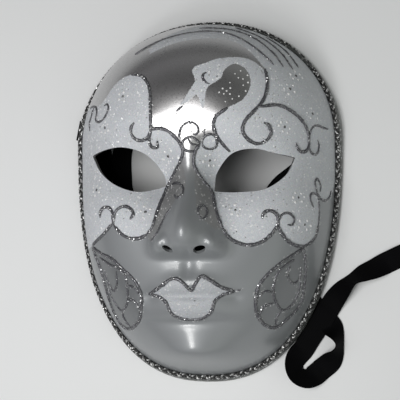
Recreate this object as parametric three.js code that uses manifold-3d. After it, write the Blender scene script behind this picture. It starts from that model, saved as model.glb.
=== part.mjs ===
// A full-face carnival mask lying face up on a table: a thin hollow shell with cut eyes and
// nostrils, a plaited braid glued round its edge, and the two black ribbons that tie it on.
// Millimetres, +Z out of the face, +Y towards the forehead. The table is z = 0.
import * as THREE from "three";
import Module from "manifold-3d";
import { mergeVertices } from "three/addons/utils/BufferGeometryUtils.js";

// Driving dimensions of the shell.
const HALF_WIDTH = 81.5; // at the widest level, which is y = WIDEST_Y
const WIDEST_Y = 32.4;
const FOREHEAD_REACH = 78.2; // from the widest level to the top of the rim
const CHIN_REACH = 143.1; // from the widest level to the bottom of the rim
const TOP_SQUARENESS = 2.05; // superellipse exponents of the two halves of the rim
const BOTTOM_SQUARENESS = 2.35;
const DOME_HEIGHT = 63;
// The dome is the top of a superellipsoid, cut off at a share of its radius, with an exponent for
// its sides, its forehead and its chin.
const DOME_CUT = { side: 0.932, top: 0.965 };
const DOME_EXPONENT = { side: 2.5, top: 3.5, bottom: 5.0 };
const EDGE_Z = 1.5; // the shell's cut edge stands on the braid, not on the table
const WALL = 1.8;
const SHELL_COLUMNS = 34;
const SHELL_ROWS = 48;

// Levels of the face, measured along y.
const EYE_Y = 8.5;
const NOSE_TIP_Y = -29;
const NOSE_BASE_Y = -41.5;
const MOUTH_Y = -61.8;
const CHIN_Y = -98.8;

// The braid's section, and the low arches of the edge that the ribbons pass under.
const BRAID_OUT = { full: 3.0, least: 1.1 }; // it thins out along the top and the upper left side
const BRAID_HEIGHT = 5.6;
const BRAID_FLOOR = 1.2;
const BRAID_HEEL = 1.3; // height of the round of its outer foot
const BRAID_WRAP = 3.9; // height of the turned-in side
const BRAID_WRAP_THICKNESS = 1.0;
const FIT_GAP = 0.3;
const BRAID_STEPS = 96;
const ARCH_RISE = 2.3;
const ARCH_HALF_ANGLE = 26;
const ARCH_CENTRES = [9, 171, -56, -124];

// The ribbons.
const RIBBON_WIDTH = 13;
const RIBBON_THICKNESS = 0.7;

const radians = THREE.MathUtils.degToRad;
const smooth = (from, to, x) => {
  const t = THREE.MathUtils.clamp((x - from) / (to - from), 0, 1);
  return t * t * (3 - 2 * t);
};

// How far the rim is from the point (0, WIDEST_Y) in the direction angle.
function rimRadius(angle) {
  const top = Math.sin(angle) >= 0;
  const n = top ? TOP_SQUARENESS : BOTTOM_SQUARENESS;
  const reach = top ? FOREHEAD_REACH : CHIN_REACH;
  const across = Math.abs(Math.cos(angle) / HALF_WIDTH) ** n;
  return (across + Math.abs(Math.sin(angle) / reach) ** n) ** (-1 / n);
}

// The plain dome without features, 1 at the middle and 0 at the rim, steepest at the forehead.
function domeShare(rho, angle) {
  const upper = smooth(-0.1, 0.8, Math.sin(angle));
  const lower = smooth(-0.1, 0.8, -Math.sin(angle));
  const cut = DOME_CUT.side + (DOME_CUT.top - DOME_CUT.side) * upper;
  let power = DOME_EXPONENT.side + (DOME_EXPONENT.top - DOME_EXPONENT.side) * upper;
  power += (DOME_EXPONENT.bottom - DOME_EXPONENT.side) * lower;
  const rest = Math.sqrt(1 - cut ** power);
  return (Math.sqrt(Math.max(1 - (cut * rho) ** power, 0)) - rest) / (1 - rest);
}

// Round swells and hollows of the face: place, half sizes, turn in degrees, rise. Those with an
// x are on both sides. The fine ones don't show on the inside of the shell.
const SWELLS = [
  { x: 0, y: 50, sx: 42, sy: 24, turn: 0, rise: 6 }, // forehead
  { x: 34, y: EYE_Y + 24, sx: 20, sy: 8, turn: 14, rise: 3 }, // brow
  { x: 0, y: EYE_Y + 1, sx: 44, sy: 11.5, turn: 0, rise: -8 }, // level of the eyes
  { x: 36, y: EYE_Y + 1, sx: 17, sy: 11, turn: 20, rise: -4.5 }, // eye socket
  { x: 16.5, y: EYE_Y - 4, sx: 6.5, sy: 12, turn: 0, rise: -5.5 }, // beside the nose
  { x: 42, y: -24, sx: 18, sy: 16, turn: 0, rise: 1 }, // cheek
  { x: 0, y: MOUTH_Y + 6, sx: 20, sy: 15, turn: 0, rise: 4.5 }, // round the mouth
  { x: 0, y: CHIN_Y + 10.8, sx: 20, sy: 5, turn: 0, rise: 4.2 }, // top of the chin
  { x: 0, y: CHIN_Y, sx: 19, sy: 5.4, turn: 0, rise: 26 }, // chin
  { x: 0, y: NOSE_BASE_Y - 5, sx: 2.6, sy: 5, turn: 0, rise: -1.6, fine: true }, // philtrum
  { x: 6.5, y: MOUTH_Y + 6.3, sx: 9, sy: 3.6, turn: -8, rise: 2.6, fine: true }, // upper lip
  { x: 0, y: MOUTH_Y - 7.7, sx: 12, sy: 4.2, turn: 0, rise: 2.4, fine: true }, // lower lip
  { x: 0, y: MOUTH_Y, sx: 17, sy: 1.7, turn: 0, rise: -2.4, fine: true }, // line of the mouth
  { x: 24, y: MOUTH_Y, sx: 4, sy: 4, turn: 0, rise: -2, fine: true }, // corner of the mouth
  { x: 0, y: MOUTH_Y - 14.4, sx: 14, sy: 2.3, turn: 0, rise: -2, fine: true }, // under the lip
];

function swellRise(swell, sideX, y) {
  const dx = sideX - swell.x;
  const dy = y - swell.y;
  const c = Math.cos(radians(swell.turn));
  const s = Math.sin(radians(swell.turn));
  const u = (c * dx + s * dy) / swell.sx;
  const v = (c * dy - s * dx) / swell.sy;
  return swell.rise * Math.exp(-0.5 * (u * u + v * v));
}

// The ridge of the nose grows from its root to its tip. The round tip and the wings
// are swells of their own, and all of them end steeply under the nose.
const NOSE = { rootRise: 8, tipRise: 14, rootWidth: 8.5, tipWidth: 10.6, sharpness: 0.72 };
const NOSE_TIP = { x: 0, y: NOSE_TIP_Y + 2, sx: 10.5, sy: 8.5, turn: 0, rise: 7.5 };
const NOSE_WING = { x: 15.6, y: NOSE_TIP_Y - 5.8, sx: 3.5, sy: 5.4, turn: 0, rise: 8 };

function noseRise(sideX, y) {
  const share = smooth(EYE_Y + 11, NOSE_TIP_Y + 5, y);
  const ridge = NOSE.rootRise + (NOSE.tipRise - NOSE.rootRise) * share;
  const ends = smooth(NOSE_BASE_Y - 2, NOSE_TIP_Y - 5, y) * smooth(EYE_Y + 26, EYE_Y + 4, y);
  const spread = smooth(EYE_Y + 2, NOSE_TIP_Y, y);
  const halfWidth = NOSE.rootWidth + (NOSE.tipWidth - NOSE.rootWidth) * spread;
  const across = Math.exp(-NOSE.sharpness * (sideX / halfWidth) ** 2);
  const tip = swellRise(NOSE_TIP, sideX, y) * smooth(NOSE_BASE_Y - 0.5, NOSE_TIP_Y - 1, y);
  const wings = swellRise(NOSE_WING, sideX, y) * smooth(NOSE_BASE_Y - 2, NOSE_TIP_Y - 8.5, y);
  return ridge * ends * across + tip + wings;
}

function archRise(angle) {
  const degrees = THREE.MathUtils.radToDeg(angle);
  let rise = 0;
  for (const centre of ARCH_CENTRES) {
    const off = THREE.MathUtils.euclideanModulo(degrees - centre + 180, 360) - 180;
    const share = Math.min(Math.abs(off) / ARCH_HALF_ANGLE, 1);
    rise += ARCH_RISE * Math.cos((Math.PI / 2) * share) ** 2;
  }
  return rise;
}

// Height of the outer surface over the table. Without fine features it guides the inner surface.
function faceHeight(x, y, withFine = true) {
  const angle = Math.atan2(y - WIDEST_Y, x);
  const rho = Math.hypot(x, y - WIDEST_Y) / rimRadius(angle);
  const sideX = Math.sqrt(x * x + 4);
  let relief = noseRise(sideX, y);
  for (const swell of SWELLS) {
    if (swell.fine && !withFine) continue;
    relief += swellRise(swell, swell.x ? sideX : x, y);
  }
  const dome = DOME_HEIGHT * domeShare(rho, angle);
  return EDGE_Z + dome + relief * smooth(1, 0.8, rho) + archRise(angle) * smooth(0.8, 1, rho);
}

// Unit normal of the broad form.
function broadNormal(x, y) {
  const e = 0.2;
  const dx = (faceHeight(x + e, y, false) - faceHeight(x - e, y, false)) / (2 * e);
  const dy = (faceHeight(x, y + e, false) - faceHeight(x, y - e, false)) / (2 * e);
  return new THREE.Vector3(-dx, -dy, 1).normalize();
}

// A point of the plan for s and t from -1 to 1: a square mapped on to the rim's shape. GRID says
// how much closer its lines are in the middle, how far they move towards the mouth, and how much
// they close up again at the rim.
const GRID = { denseAcross: 0.38, denseAlong: 0.32, towardsMouth: 0.2, denseRim: 0.4 };

function planPoint(s, t) {
  const a = (1 - GRID.denseAcross) * s + GRID.denseAcross * s ** 3;
  const even = (1 - GRID.denseAlong) * t + GRID.denseAlong * t ** 3;
  const b = even - GRID.towardsMouth * (1 - t * t);
  const u = a * Math.sqrt(1 - 0.5 * b * b);
  const v = b * Math.sqrt(1 - 0.5 * a * a);
  const angle = Math.atan2(v, u);
  const bend = GRID.denseRim * Math.PI;
  const rho = Math.sin(Math.hypot(u, v) * bend) / Math.sin(bend);
  const r = rho * rimRadius(angle);
  return { x: r * Math.cos(angle), y: WIDEST_Y + r * Math.sin(angle), angle };
}

function meshGeometry(positions, triangles) {
  const geometry = new THREE.BufferGeometry();
  geometry.setAttribute("position", new THREE.Float32BufferAttribute(positions, 3));
  geometry.setIndex(triangles);
  geometry.computeVertexNormals();
  return geometry;
}

// The whole shell before its openings are cut: an outer and an inner sheet joined at the edge.
function shellGeometry() {
  const columns = SHELL_COLUMNS + 1;
  const rows = SHELL_ROWS + 1;
  const outer = [];
  const inner = [];
  for (let j = 0; j < rows; j += 1) {
    for (let i = 0; i < columns; i += 1) {
      const p = planPoint((2 * i) / SHELL_COLUMNS - 1, (2 * j) / SHELL_ROWS - 1);
      const z = faceHeight(p.x, p.y);
      const n = broadNormal(p.x, p.y);
      const floor = EDGE_Z + archRise(p.angle);
      outer.push(p.x, p.y, z);
      inner.push(p.x - WALL * n.x, p.y - WALL * n.y, Math.max(z - WALL * n.z, floor));
    }
  }
  const triangles = [];
  const inside = rows * columns;
  const at = (i, j) => j * columns + i;
  for (let j = 0; j < SHELL_ROWS; j += 1) {
    for (let i = 0; i < SHELL_COLUMNS; i += 1) {
      const [a, b, c, d] = [at(i, j), at(i + 1, j), at(i + 1, j + 1), at(i, j + 1)];
      triangles.push(a, b, c, a, c, d);
      triangles.push(inside + a, inside + c, inside + b, inside + a, inside + d, inside + c);
    }
  }
  const edge = [];
  for (let i = 0; i < SHELL_COLUMNS; i += 1) edge.push(at(i, 0));
  for (let j = 0; j < SHELL_ROWS; j += 1) edge.push(at(SHELL_COLUMNS, j));
  for (let i = SHELL_COLUMNS; i > 0; i -= 1) edge.push(at(i, SHELL_ROWS));
  for (let j = SHELL_ROWS; j > 0; j -= 1) edge.push(at(0, j));
  edge.forEach((from, k) => {
    const to = edge[(k + 1) % edge.length];
    triangles.push(from, inside + from, inside + to, from, inside + to, to);
  });
  return meshGeometry([...outer, ...inner], triangles);
}

// The eye openings, each an upper and a lower lid line between its two corners. They were cut by
// hand, so the left one sits a little higher.
const RIGHT_EYE = {
  upper: [[13.4, -3.6], [14.2, 7.5], [22.5, 17], [36, 20], [48, 18], [58.5, 16.5]],
  lower: [[58.5, 16.5], [53.5, 6], [42, -3], [28, -4.5], [13.4, -3.6]],
};
const LEFT_EYE = {
  upper: [[-14.8, 0.4], [-17.2, 8], [-25.5, 18], [-39, 23], [-51, 23.5], [-64, 22.2]],
  lower: [[-64, 22.2], [-56, 10.5], [-44, 1.3], [-30, -3], [-14.8, 0.4]],
};
const LID_STEPS = 10;
const CUT_HEIGHT = 110; // higher than the tip of the nose
const NOSTRILS = [
  { x: 7.7, y: -37.2, long: 3.7, short: 1.8, turn: 20 },
  { x: -9.9, y: -36.7, long: 2.9, short: 1.5, turn: -30 },
];

function eyeCutter({ upper, lower }) {
  const outline = new THREE.Shape();
  for (const line of [upper, lower]) {
    const curve = new THREE.SplineCurve(line.map(([x, y]) => new THREE.Vector2(x, y)));
    const points = curve.getPoints(LID_STEPS);
    points.pop();
    points.forEach((p, k) => {
      if (line === upper && k === 0) outline.moveTo(p.x, p.y);
      else outline.lineTo(p.x, p.y);
    });
  }
  outline.closePath();
  return new THREE.ExtrudeGeometry(outline, { depth: CUT_HEIGHT, bevelEnabled: false, steps: 1 });
}

function nostrilCutter({ x, y, long, short, turn }) {
  const outline = new THREE.Shape();
  outline.absellipse(x, y, long, short, 0, 2 * Math.PI, false, radians(turn));
  const settings = { depth: CUT_HEIGHT, bevelEnabled: false, steps: 1, curveSegments: 8 };
  return new THREE.ExtrudeGeometry(outline, settings);
}

const wasm = await Module();
wasm.setup();

function solidOf(geometry) {
  const bare = geometry.clone();
  bare.deleteAttribute("normal");
  bare.deleteAttribute("uv");
  const merged = mergeVertices(bare, 1e-4);
  const solid = new wasm.Manifold(
    new wasm.Mesh({
      numProp: 3,
      vertProperties: merged.attributes.position.array,
      triVerts: new Uint32Array(merged.index.array),
    }),
  );
  return solid;
}

function geometryOf(solid) {
  const mesh = solid.getMesh();
  return meshGeometry(Array.from(mesh.vertProperties), Array.from(mesh.triVerts));
}

function cutShell() {
  let shell = solidOf(shellGeometry());
  const cutters = [eyeCutter(RIGHT_EYE), eyeCutter(LEFT_EYE), ...NOSTRILS.map(nostrilCutter)];
  for (const cutter of cutters) shell = shell.subtract(solidOf(cutter));
  return geometryOf(shell);
}

// How far the outer surface has moved in from the rim at a height above the shell's edge.
function leanAt(angle, height) {
  const edge = rimRadius(angle);
  const halvings = 24;
  let low = 0;
  let high = 20;
  for (let k = 0; k < halvings; k += 1) {
    const middle = (low + high) / 2;
    const x = (edge - middle) * Math.cos(angle);
    const y = WIDEST_Y + (edge - middle) * Math.sin(angle);
    if (faceHeight(x, y) - EDGE_Z - archRise(angle) < height) low = middle;
    else high = middle;
  }
  return (low + high) / 2;
}

// How far the braid stands out from the rim in a direction.
function braidOut(angle) {
  const degrees = THREE.MathUtils.radToDeg(Math.atan2(Math.sin(angle), Math.cos(angle)));
  const thinned = smooth(12, 80, degrees) * smooth(176, 160, degrees);
  return BRAID_OUT.full + (BRAID_OUT.least - BRAID_OUT.full) * thinned;
}

// The braid: a trough round the shell's edge, with its outer side leaning in with the wall.
function braidGeometry() {
  const positions = [];
  const triangles = [];
  const corners = 8;
  for (let k = 0; k < BRAID_STEPS; k += 1) {
    const angle = (2 * Math.PI * (k + 0.5)) / BRAID_STEPS - Math.PI / 2;
    const top = leanAt(angle, BRAID_HEIGHT - EDGE_Z);
    const wrapTop = leanAt(angle, BRAID_WRAP - EDGE_Z);
    const wrapFace = -WALL - 2 * FIT_GAP;
    const outside = braidOut(angle);
    const section = [
      [wrapFace - BRAID_WRAP_THICKNESS, 0],
      [outside - BRAID_HEEL / 2, 0],
      [outside, BRAID_HEEL],
      [outside - top, BRAID_HEIGHT],
      [FIT_GAP - top, BRAID_HEIGHT],
      [FIT_GAP, BRAID_FLOOR],
      [wrapFace, BRAID_FLOOR],
      [wrapFace - wrapTop - BRAID_WRAP_THICKNESS / 2, BRAID_WRAP],
    ];
    const rise = archRise(angle);
    for (const [out, z] of section) {
      const r = rimRadius(angle) + out;
      positions.push(r * Math.cos(angle), WIDEST_Y + r * Math.sin(angle), z + rise);
    }
    const next = ((k + 1) % BRAID_STEPS) * corners;
    for (let c = 0; c < corners; c += 1) {
      const d = (c + 1) % corners;
      const here = k * corners;
      triangles.push(here + c, next + c, next + d, here + c, next + d, here + d);
    }
  }
  return meshGeometry(positions, triangles);
}

// A ribbon's route: x, y, height of its lower edge over the table, and bank in degrees. A bank of
// 90 stands it on its edge, and a positive one raises the side that is on the left of its way.
const RIGHT_ROUTE = [
  [71.8, 55, 5, -72], [73.4, 45, 4.6, -72], [73.2, 34, 4.2, -68], [70, 24, 3, -50],
  [62, 17.8, 1.5, -24], [53.8, 12, 0.5, -5], [46.2, 6.2, 0.2, 0], [40.4, -2.6, 0.2, 0],
  [38.8, -15.6, 0.2, 0], [40, -28, 0.2, 0], [44.6, -39.6, 0.2, 0], [51.4, -50.2, 0.2, 0],
  [58.6, -59.4, 0.2, 0], [65, -67, 0.2, 0], [70.6, -73.8, 0.2, 0], [75.8, -79.6, 0.2, -8],
  [79.2, -85, 0.3, -50], [80.6, -90.4, 0.5, -70], [79.2, -95.8, 0.4, -55], [75, -101, 0.2, -15],
  [69.7, -105.3, 0.2, 0], [65.2, -109, 0.2, 10], [60.2, -110.8, 0.2, 34], [55.1, -108.6, 0.2, 42],
  [53.3, -103.6, 0.2, 36], [54.8, -98.4, 0.2, 14], [58.6, -93.8, 0.2, 0], [62.4, -87.8, 0.4, 0],
  [66.4, -81.8, 0.9, 0], [70.6, -75.4, 1.15, 0], [74.6, -69, 1, 0], [78, -63.6, 0.5, -12],
  [83, -57.4, 0.3, -34], [88.6, -52, 0.3, -56], [94.8, -48.4, 0.3, -38], [101.8, -45.6, 0.2, -22],
  [110, -41.6, 0.2, 0], [119, -37.4, 0.2, 0], [129, -33.4, 0.2, 0], [140, -31.6, 0.2, 0],
  [150, -34, 0.2, 0], [156.4, -41.4, 0.2, 0], [155.6, -51.4, 0.2, 0], [148.4, -59, 0.2, 0],
  [140.6, -66.4, 0.2, 0], [138, -76.4, 0.2, 0], [142, -86, 0.2, 0],
];
const LEFT_ROUTE = [
  [-85.4, 46, 0.2, 0], [-78, 44.4, 0.2, 0], [-72.5, 39.5, 0.2, 0], [-69.3, 31, 0.2, 0],
  [-68.8, 20, 0.2, 0], [-68.8, 8, 0.2, 0], [-68.5, -5, 0.2, 0], [-66, -18, 0.2, 0], [-60, -30, 0.2, 0],
  [-50, -36.5, 0.2, 0], [-41.5, -32, 0.2, 0], [-40, -22, 0.2, 0], [-45, -12, 0.2, 0],
  [-51, -3.5, 0.2, 0], [-54.6, 5, 0.2, 0], [-55.6, 15, 0.2, 0], [-55.8, 28, 0.2, 0], [-53, 40, 0.2, 0],
  [-46, 50, 0.2, 0], [-35, 56, 0.2, 0], [-22, 54, 0.2, 0], [-13, 45, 0.2, 0], [-9, 33, 0.2, 0],
  [-9, 12, 0.2, 0], [-9, -2, 0.2, 0], [-8, -16, 0.2, 0], [-3, -28, 0.2, 0], [7, -36, 0.2, 0],
  [17, -38, 0.2, 0], [25, -31, 0.2, 0], [24.5, -20, 0.2, 0],
];
const RIBBON_STEPS = 70;

function ribbonGeometry(route) {
  const curve = new THREE.CatmullRomCurve3(route.map(([x, y, low]) => new THREE.Vector3(x, y, low)));
  const banks = new THREE.SplineCurve(route.map(([, , , bank], k) => new THREE.Vector2(k, bank)));
  const positions = [];
  const triangles = [];
  for (let k = 0; k <= RIBBON_STEPS; k += 1) {
    const share = k / RIBBON_STEPS;
    const centre = curve.getPoint(share);
    const way = curve.getTangent(share).setZ(0).normalize();
    const bank = radians(banks.getPoint(share).y);
    const leftwards = new THREE.Vector3(-way.y * Math.cos(bank), way.x * Math.cos(bank), Math.sin(bank));
    const up = new THREE.Vector3().crossVectors(way, leftwards);
    const half = RIBBON_WIDTH / 2;
    centre.z += half * Math.abs(Math.sin(bank)) + RIBBON_THICKNESS / 2;
    for (const [side, lift] of [[-1, -1], [-1, 1], [1, 1], [1, -1]]) {
      const p = centre.clone().addScaledVector(leftwards, side * half);
      p.addScaledVector(up, (lift * RIBBON_THICKNESS) / 2);
      positions.push(p.x, p.y, p.z);
    }
    if (k === RIBBON_STEPS) continue;
    for (let c = 0; c < 4; c += 1) {
      const [a, b] = [4 * k + c, 4 * k + ((c + 1) % 4)];
      triangles.push(a, b + 4, b, a, a + 4, b + 4);
    }
  }
  const last = 4 * RIBBON_STEPS;
  triangles.push(0, 1, 2, 0, 2, 3, last, last + 2, last + 1, last, last + 3, last + 2);
  return meshGeometry(positions, triangles);
}

function named(name, geometry, colour, roughness, metalness) {
  const material = new THREE.MeshStandardMaterial({ color: colour, roughness, metalness });
  const mesh = new THREE.Mesh(geometry, material);
  mesh.name = name;
  return mesh;
}

const mask = new THREE.Group();
mask.add(named("mask_shell", cutShell(), 0x8f9294, 0.34, 0.55));
mask.add(named("rim_braid", braidGeometry(), 0x6e6f70, 0.4, 0.8));
mask.add(named("ribbon_right", ribbonGeometry(RIGHT_ROUTE), 0x0a0a0c, 0.6, 0));
mask.add(named("ribbon_left", ribbonGeometry(LEFT_ROUTE), 0x0a0a0c, 0.6, 0));

export default mask;
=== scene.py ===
"""A full-face carnival mask lying face up: a silver shell with glitter scrollwork and a painted
bird, a plaited metallic braid round its edge, and two black satin ribbons.

Lengths are millimetres where a name or a comment says nothing else, and are turned into Blender's
metres when a mesh is made. The face's surface is the same formula as in the part's source.
"""
import math

import bmesh
import bpy
import numpy as np
from bpy.props import FloatProperty, FloatVectorProperty, IntProperty, PointerProperty
from mathutils import Matrix, Vector


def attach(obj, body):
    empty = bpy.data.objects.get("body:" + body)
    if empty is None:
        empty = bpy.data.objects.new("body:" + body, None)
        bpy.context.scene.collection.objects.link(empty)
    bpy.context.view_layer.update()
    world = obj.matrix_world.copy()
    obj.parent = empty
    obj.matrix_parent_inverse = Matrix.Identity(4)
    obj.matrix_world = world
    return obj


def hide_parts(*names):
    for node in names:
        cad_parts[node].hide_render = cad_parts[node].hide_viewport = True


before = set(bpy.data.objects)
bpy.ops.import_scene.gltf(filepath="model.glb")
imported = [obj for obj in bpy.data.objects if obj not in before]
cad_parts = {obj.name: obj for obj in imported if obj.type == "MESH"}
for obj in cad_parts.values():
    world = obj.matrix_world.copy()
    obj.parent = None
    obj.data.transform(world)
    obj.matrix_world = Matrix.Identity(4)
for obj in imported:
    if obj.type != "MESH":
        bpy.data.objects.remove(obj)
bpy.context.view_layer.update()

bl_info = {
    "name": "Venetian mask",
    "version": (1, 0, 0),
    "blender": (4, 5, 0),
    "location": "View3D > Sidebar > Mask",
    "description": "Builds a silver carnival mask with glitter scrollwork, braid and ribbons",
    "category": "Add Mesh",
}

MM = 0.001

# Driving dimensions of the shell, as in the part's source.
HALF_WIDTH = 81.5
WIDEST_Y = 32.4
FOREHEAD_REACH = 78.2
CHIN_REACH = 143.1
TOP_SQUARENESS = 2.05
BOTTOM_SQUARENESS = 2.35
DOME_HEIGHT = 63.0
DOME_CUT = {"side": 0.932, "top": 0.965}
DOME_EXPONENT = {"side": 2.5, "top": 3.5, "bottom": 5.0}
EDGE_Z = 1.5
RELIEF_ENDS = 0.8  # share of the way to the rim from which the features fade and the edge arches
MIDLINE_ROUND = 2.0  # rounds the features that are on both sides where they meet in the middle

# Levels of the face along y.
EYE_Y = 8.5
NOSE_TIP_Y = -29.0
NOSE_BASE_Y = -41.5
MOUTH_Y = -61.8
CHIN_Y = -98.8

# The low arches of the edge: rise, half angle and centres in degrees round the widest level.
ARCH_RISE = 2.3
ARCH_HALF_ANGLE = 26.0
ARCH_CENTRES = (9.0, 171.0, -56.0, -124.0)


def smooth(start, end, x):
    """An S-shaped step from 0 at start to 1 at end."""
    t = np.clip((x - start) / (end - start), 0.0, 1.0)
    return t * t * (3.0 - 2.0 * t)


def rim_radius(angle):
    """How far the rim is from the point (0, WIDEST_Y) in a direction."""
    top = np.sin(angle) >= 0
    power = np.where(top, TOP_SQUARENESS, BOTTOM_SQUARENESS)
    reach = np.where(top, FOREHEAD_REACH, CHIN_REACH)
    across = np.abs(np.cos(angle) / HALF_WIDTH) ** power
    return (across + np.abs(np.sin(angle) / reach) ** power) ** (-1.0 / power)


def dome_share(rho, angle):
    """The dome without features, 1 in the middle and 0 at the rim."""
    upper = smooth(-0.1, 0.8, np.sin(angle))
    lower = smooth(-0.1, 0.8, -np.sin(angle))
    cut = DOME_CUT["side"] + (DOME_CUT["top"] - DOME_CUT["side"]) * upper
    power = DOME_EXPONENT["side"] + (DOME_EXPONENT["top"] - DOME_EXPONENT["side"]) * upper
    power = power + (DOME_EXPONENT["bottom"] - DOME_EXPONENT["side"]) * lower
    rest = np.sqrt(1.0 - cut ** power)
    return (np.sqrt(np.maximum(1.0 - (cut * rho) ** power, 0.0)) - rest) / (1.0 - rest)


# Swells and hollows: x, y, half size across, half size along, turn in degrees, rise. Those with an
# x are on both sides. The fine ones don't show on the inside.
BROAD_SWELLS = {
    "forehead": (0, 50, 42, 24, 0, 6),
    "brow": (34, EYE_Y + 24, 20, 8, 14, 3),
    "level of the eyes": (0, EYE_Y + 1, 44, 11.5, 0, -8),
    "eye socket": (36, EYE_Y + 1, 17, 11, 20, -4.5),
    "beside the nose": (16.5, EYE_Y - 4, 6.5, 12, 0, -5.5),
    "cheek": (42, -24, 18, 16, 0, 1),
    "round the mouth": (0, MOUTH_Y + 6, 20, 15, 0, 4.5),
    "top of the chin": (0, CHIN_Y + 10.8, 20, 5, 0, 4.2),
    "chin": (0, CHIN_Y, 19, 5.4, 0, 26),
}
FINE_SWELLS = {
    "philtrum": (0, NOSE_BASE_Y - 5, 2.6, 5, 0, -1.6),
    "upper lip": (6.5, MOUTH_Y + 6.3, 9, 3.6, -8, 2.6),
    "lower lip": (0, MOUTH_Y - 7.7, 12, 4.2, 0, 2.4),
    "line of the mouth": (0, MOUTH_Y, 17, 1.7, 0, -2.4),
    "corner of the mouth": (24, MOUTH_Y, 4, 4, 0, -2),
    "under the lip": (0, MOUTH_Y - 14.4, 14, 2.3, 0, -2),
}
NOSE = {
    "root_rise": 8.0,
    "tip_rise": 14.0,
    "root_width": 8.5,
    "tip_width": 10.6,
    "sharpness": 0.72,
}
NOSE_TIP = (0, NOSE_TIP_Y + 2, 10.5, 8.5, 0, 7.5)
NOSE_WING = (15.6, NOSE_TIP_Y - 5.8, 3.5, 5.4, 0, 8)


def swell_rise(swell, side_x, y):
    """The rise of one swell, a turned bell shape."""
    at_x, at_y, half_x, half_y, turn, rise = swell
    c = math.cos(math.radians(turn))
    s = math.sin(math.radians(turn))
    u = (c * (side_x - at_x) + s * (y - at_y)) / half_x
    v = (c * (y - at_y) - s * (side_x - at_x)) / half_y
    return rise * np.exp(-0.5 * (u * u + v * v))


def nose_rise(side_x, y):
    """The ridge of the nose, its round tip and its wings, all cut off steeply at the base."""
    share = smooth(EYE_Y + 11, NOSE_TIP_Y + 5, y)
    ridge = NOSE["root_rise"] + (NOSE["tip_rise"] - NOSE["root_rise"]) * share
    ends = smooth(NOSE_BASE_Y - 2, NOSE_TIP_Y - 5, y) * smooth(EYE_Y + 26, EYE_Y + 4, y)
    spread = smooth(EYE_Y + 2, NOSE_TIP_Y, y)
    half_width = NOSE["root_width"] + (NOSE["tip_width"] - NOSE["root_width"]) * spread
    across = np.exp(-NOSE["sharpness"] * (side_x / half_width) ** 2)
    tip = swell_rise(NOSE_TIP, side_x, y) * smooth(NOSE_BASE_Y - 0.5, NOSE_TIP_Y - 1, y)
    wings = swell_rise(NOSE_WING, side_x, y) * smooth(NOSE_BASE_Y - 2, NOSE_TIP_Y - 8.5, y)
    return ridge * ends * across + tip + wings


def arch_rise(angle):
    """How far the edge is lifted off the table in a direction."""
    rise = np.zeros_like(angle)
    for centre in ARCH_CENTRES:
        off = (np.degrees(angle) - centre + 180.0) % 360.0 - 180.0
        share = np.minimum(np.abs(off) / ARCH_HALF_ANGLE, 1.0)
        rise = rise + ARCH_RISE * np.cos(0.5 * math.pi * share) ** 2
    return rise


def face_height(x, y, with_fine=True):
    """Height of the outer surface over the table."""
    x = np.asarray(x, float)
    y = np.asarray(y, float)
    angle = np.arctan2(y - WIDEST_Y, x)
    rho = np.minimum(np.hypot(x, y - WIDEST_Y) / rim_radius(angle), 1.0)
    side_x = np.sqrt(x * x + MIDLINE_ROUND ** 2)
    relief = nose_rise(side_x, y)
    swells = list(BROAD_SWELLS.values()) + (list(FINE_SWELLS.values()) if with_fine else [])
    for swell in swells:
        relief = relief + swell_rise(swell, side_x if swell[0] else x, y)
    height = EDGE_Z + DOME_HEIGHT * dome_share(rho, angle)
    height = height + relief * smooth(1.0, RELIEF_ENDS, rho)
    return height + arch_rise(angle) * smooth(RELIEF_ENDS, 1.0, rho)


def face_normals(x, y, with_fine=True):
    """Unit normals of the outer surface."""
    step = 0.2
    slope_x = (face_height(x + step, y, with_fine) - face_height(x - step, y, with_fine)) / (2 * step)
    slope_y = (face_height(x, y + step, with_fine) - face_height(x, y - step, with_fine)) / (2 * step)
    normals = np.stack([-slope_x, -slope_y, np.ones_like(slope_x)], axis=-1)
    return normals / np.linalg.norm(normals, axis=-1, keepdims=True)


def on_face(plan, lift=0.0):
    """Points of the face over points of the plan, raised along the surface's normal."""
    plan = np.asarray(plan, float)
    x, y = plan[:, 0], plan[:, 1]
    points = np.column_stack([x, y, face_height(x, y)])
    return points + lift * face_normals(x, y)


def through(points, spacing):
    """A smooth curve through the points as a dense row, and each one's place in the list."""
    p = np.asarray(points, float)
    p = np.vstack([2 * p[0] - p[1], p, 2 * p[-1] - p[-2]])
    rows = []
    places = []
    for k, (a, b, c, d) in enumerate(zip(p[:-3], p[1:-2], p[2:-1], p[3:])):
        gaps = (np.linalg.norm(b - a), np.linalg.norm(c - b), np.linalg.norm(d - c))
        before, here, after = (max(gap, 1e-6) ** 0.5 for gap in gaps)
        leave = ((b - a) / before - (c - a) / (before + here) + (c - b) / here) * here
        arrive = ((c - b) / here - (d - b) / (here + after) + (d - c) / after) * here
        steps = max(int(math.ceil(np.linalg.norm(c - b) / spacing)), 2)
        t = np.linspace(0.0, 1.0, steps, endpoint=False)[:, None]
        rows.append((2 * t ** 3 - 3 * t ** 2 + 1) * b + (t ** 3 - 2 * t ** 2 + t) * leave
                    + (3 * t ** 2 - 2 * t ** 3) * c + (t ** 3 - t ** 2) * arrive)
        places.append(k + t[:, 0])
    rows.append(p[-2:-1])
    places.append(np.array([len(points) - 1.0]))
    return np.vstack(rows), np.concatenate(places)


def curl(centre, radius, end_radius, start, sweep):
    """The end of a scroll: an arc that winds inwards, with angles in degrees."""
    steps = max(int(abs(sweep) / 30), 3)
    share = np.linspace(0.0, 1.0, steps + 1)
    angle = np.radians(start + sweep * share)
    r = radius + (end_radius - radius) * share
    return [(centre[0] + a * math.cos(b), centre[1] + a * math.sin(b)) for a, b in zip(r, angle)]


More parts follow.
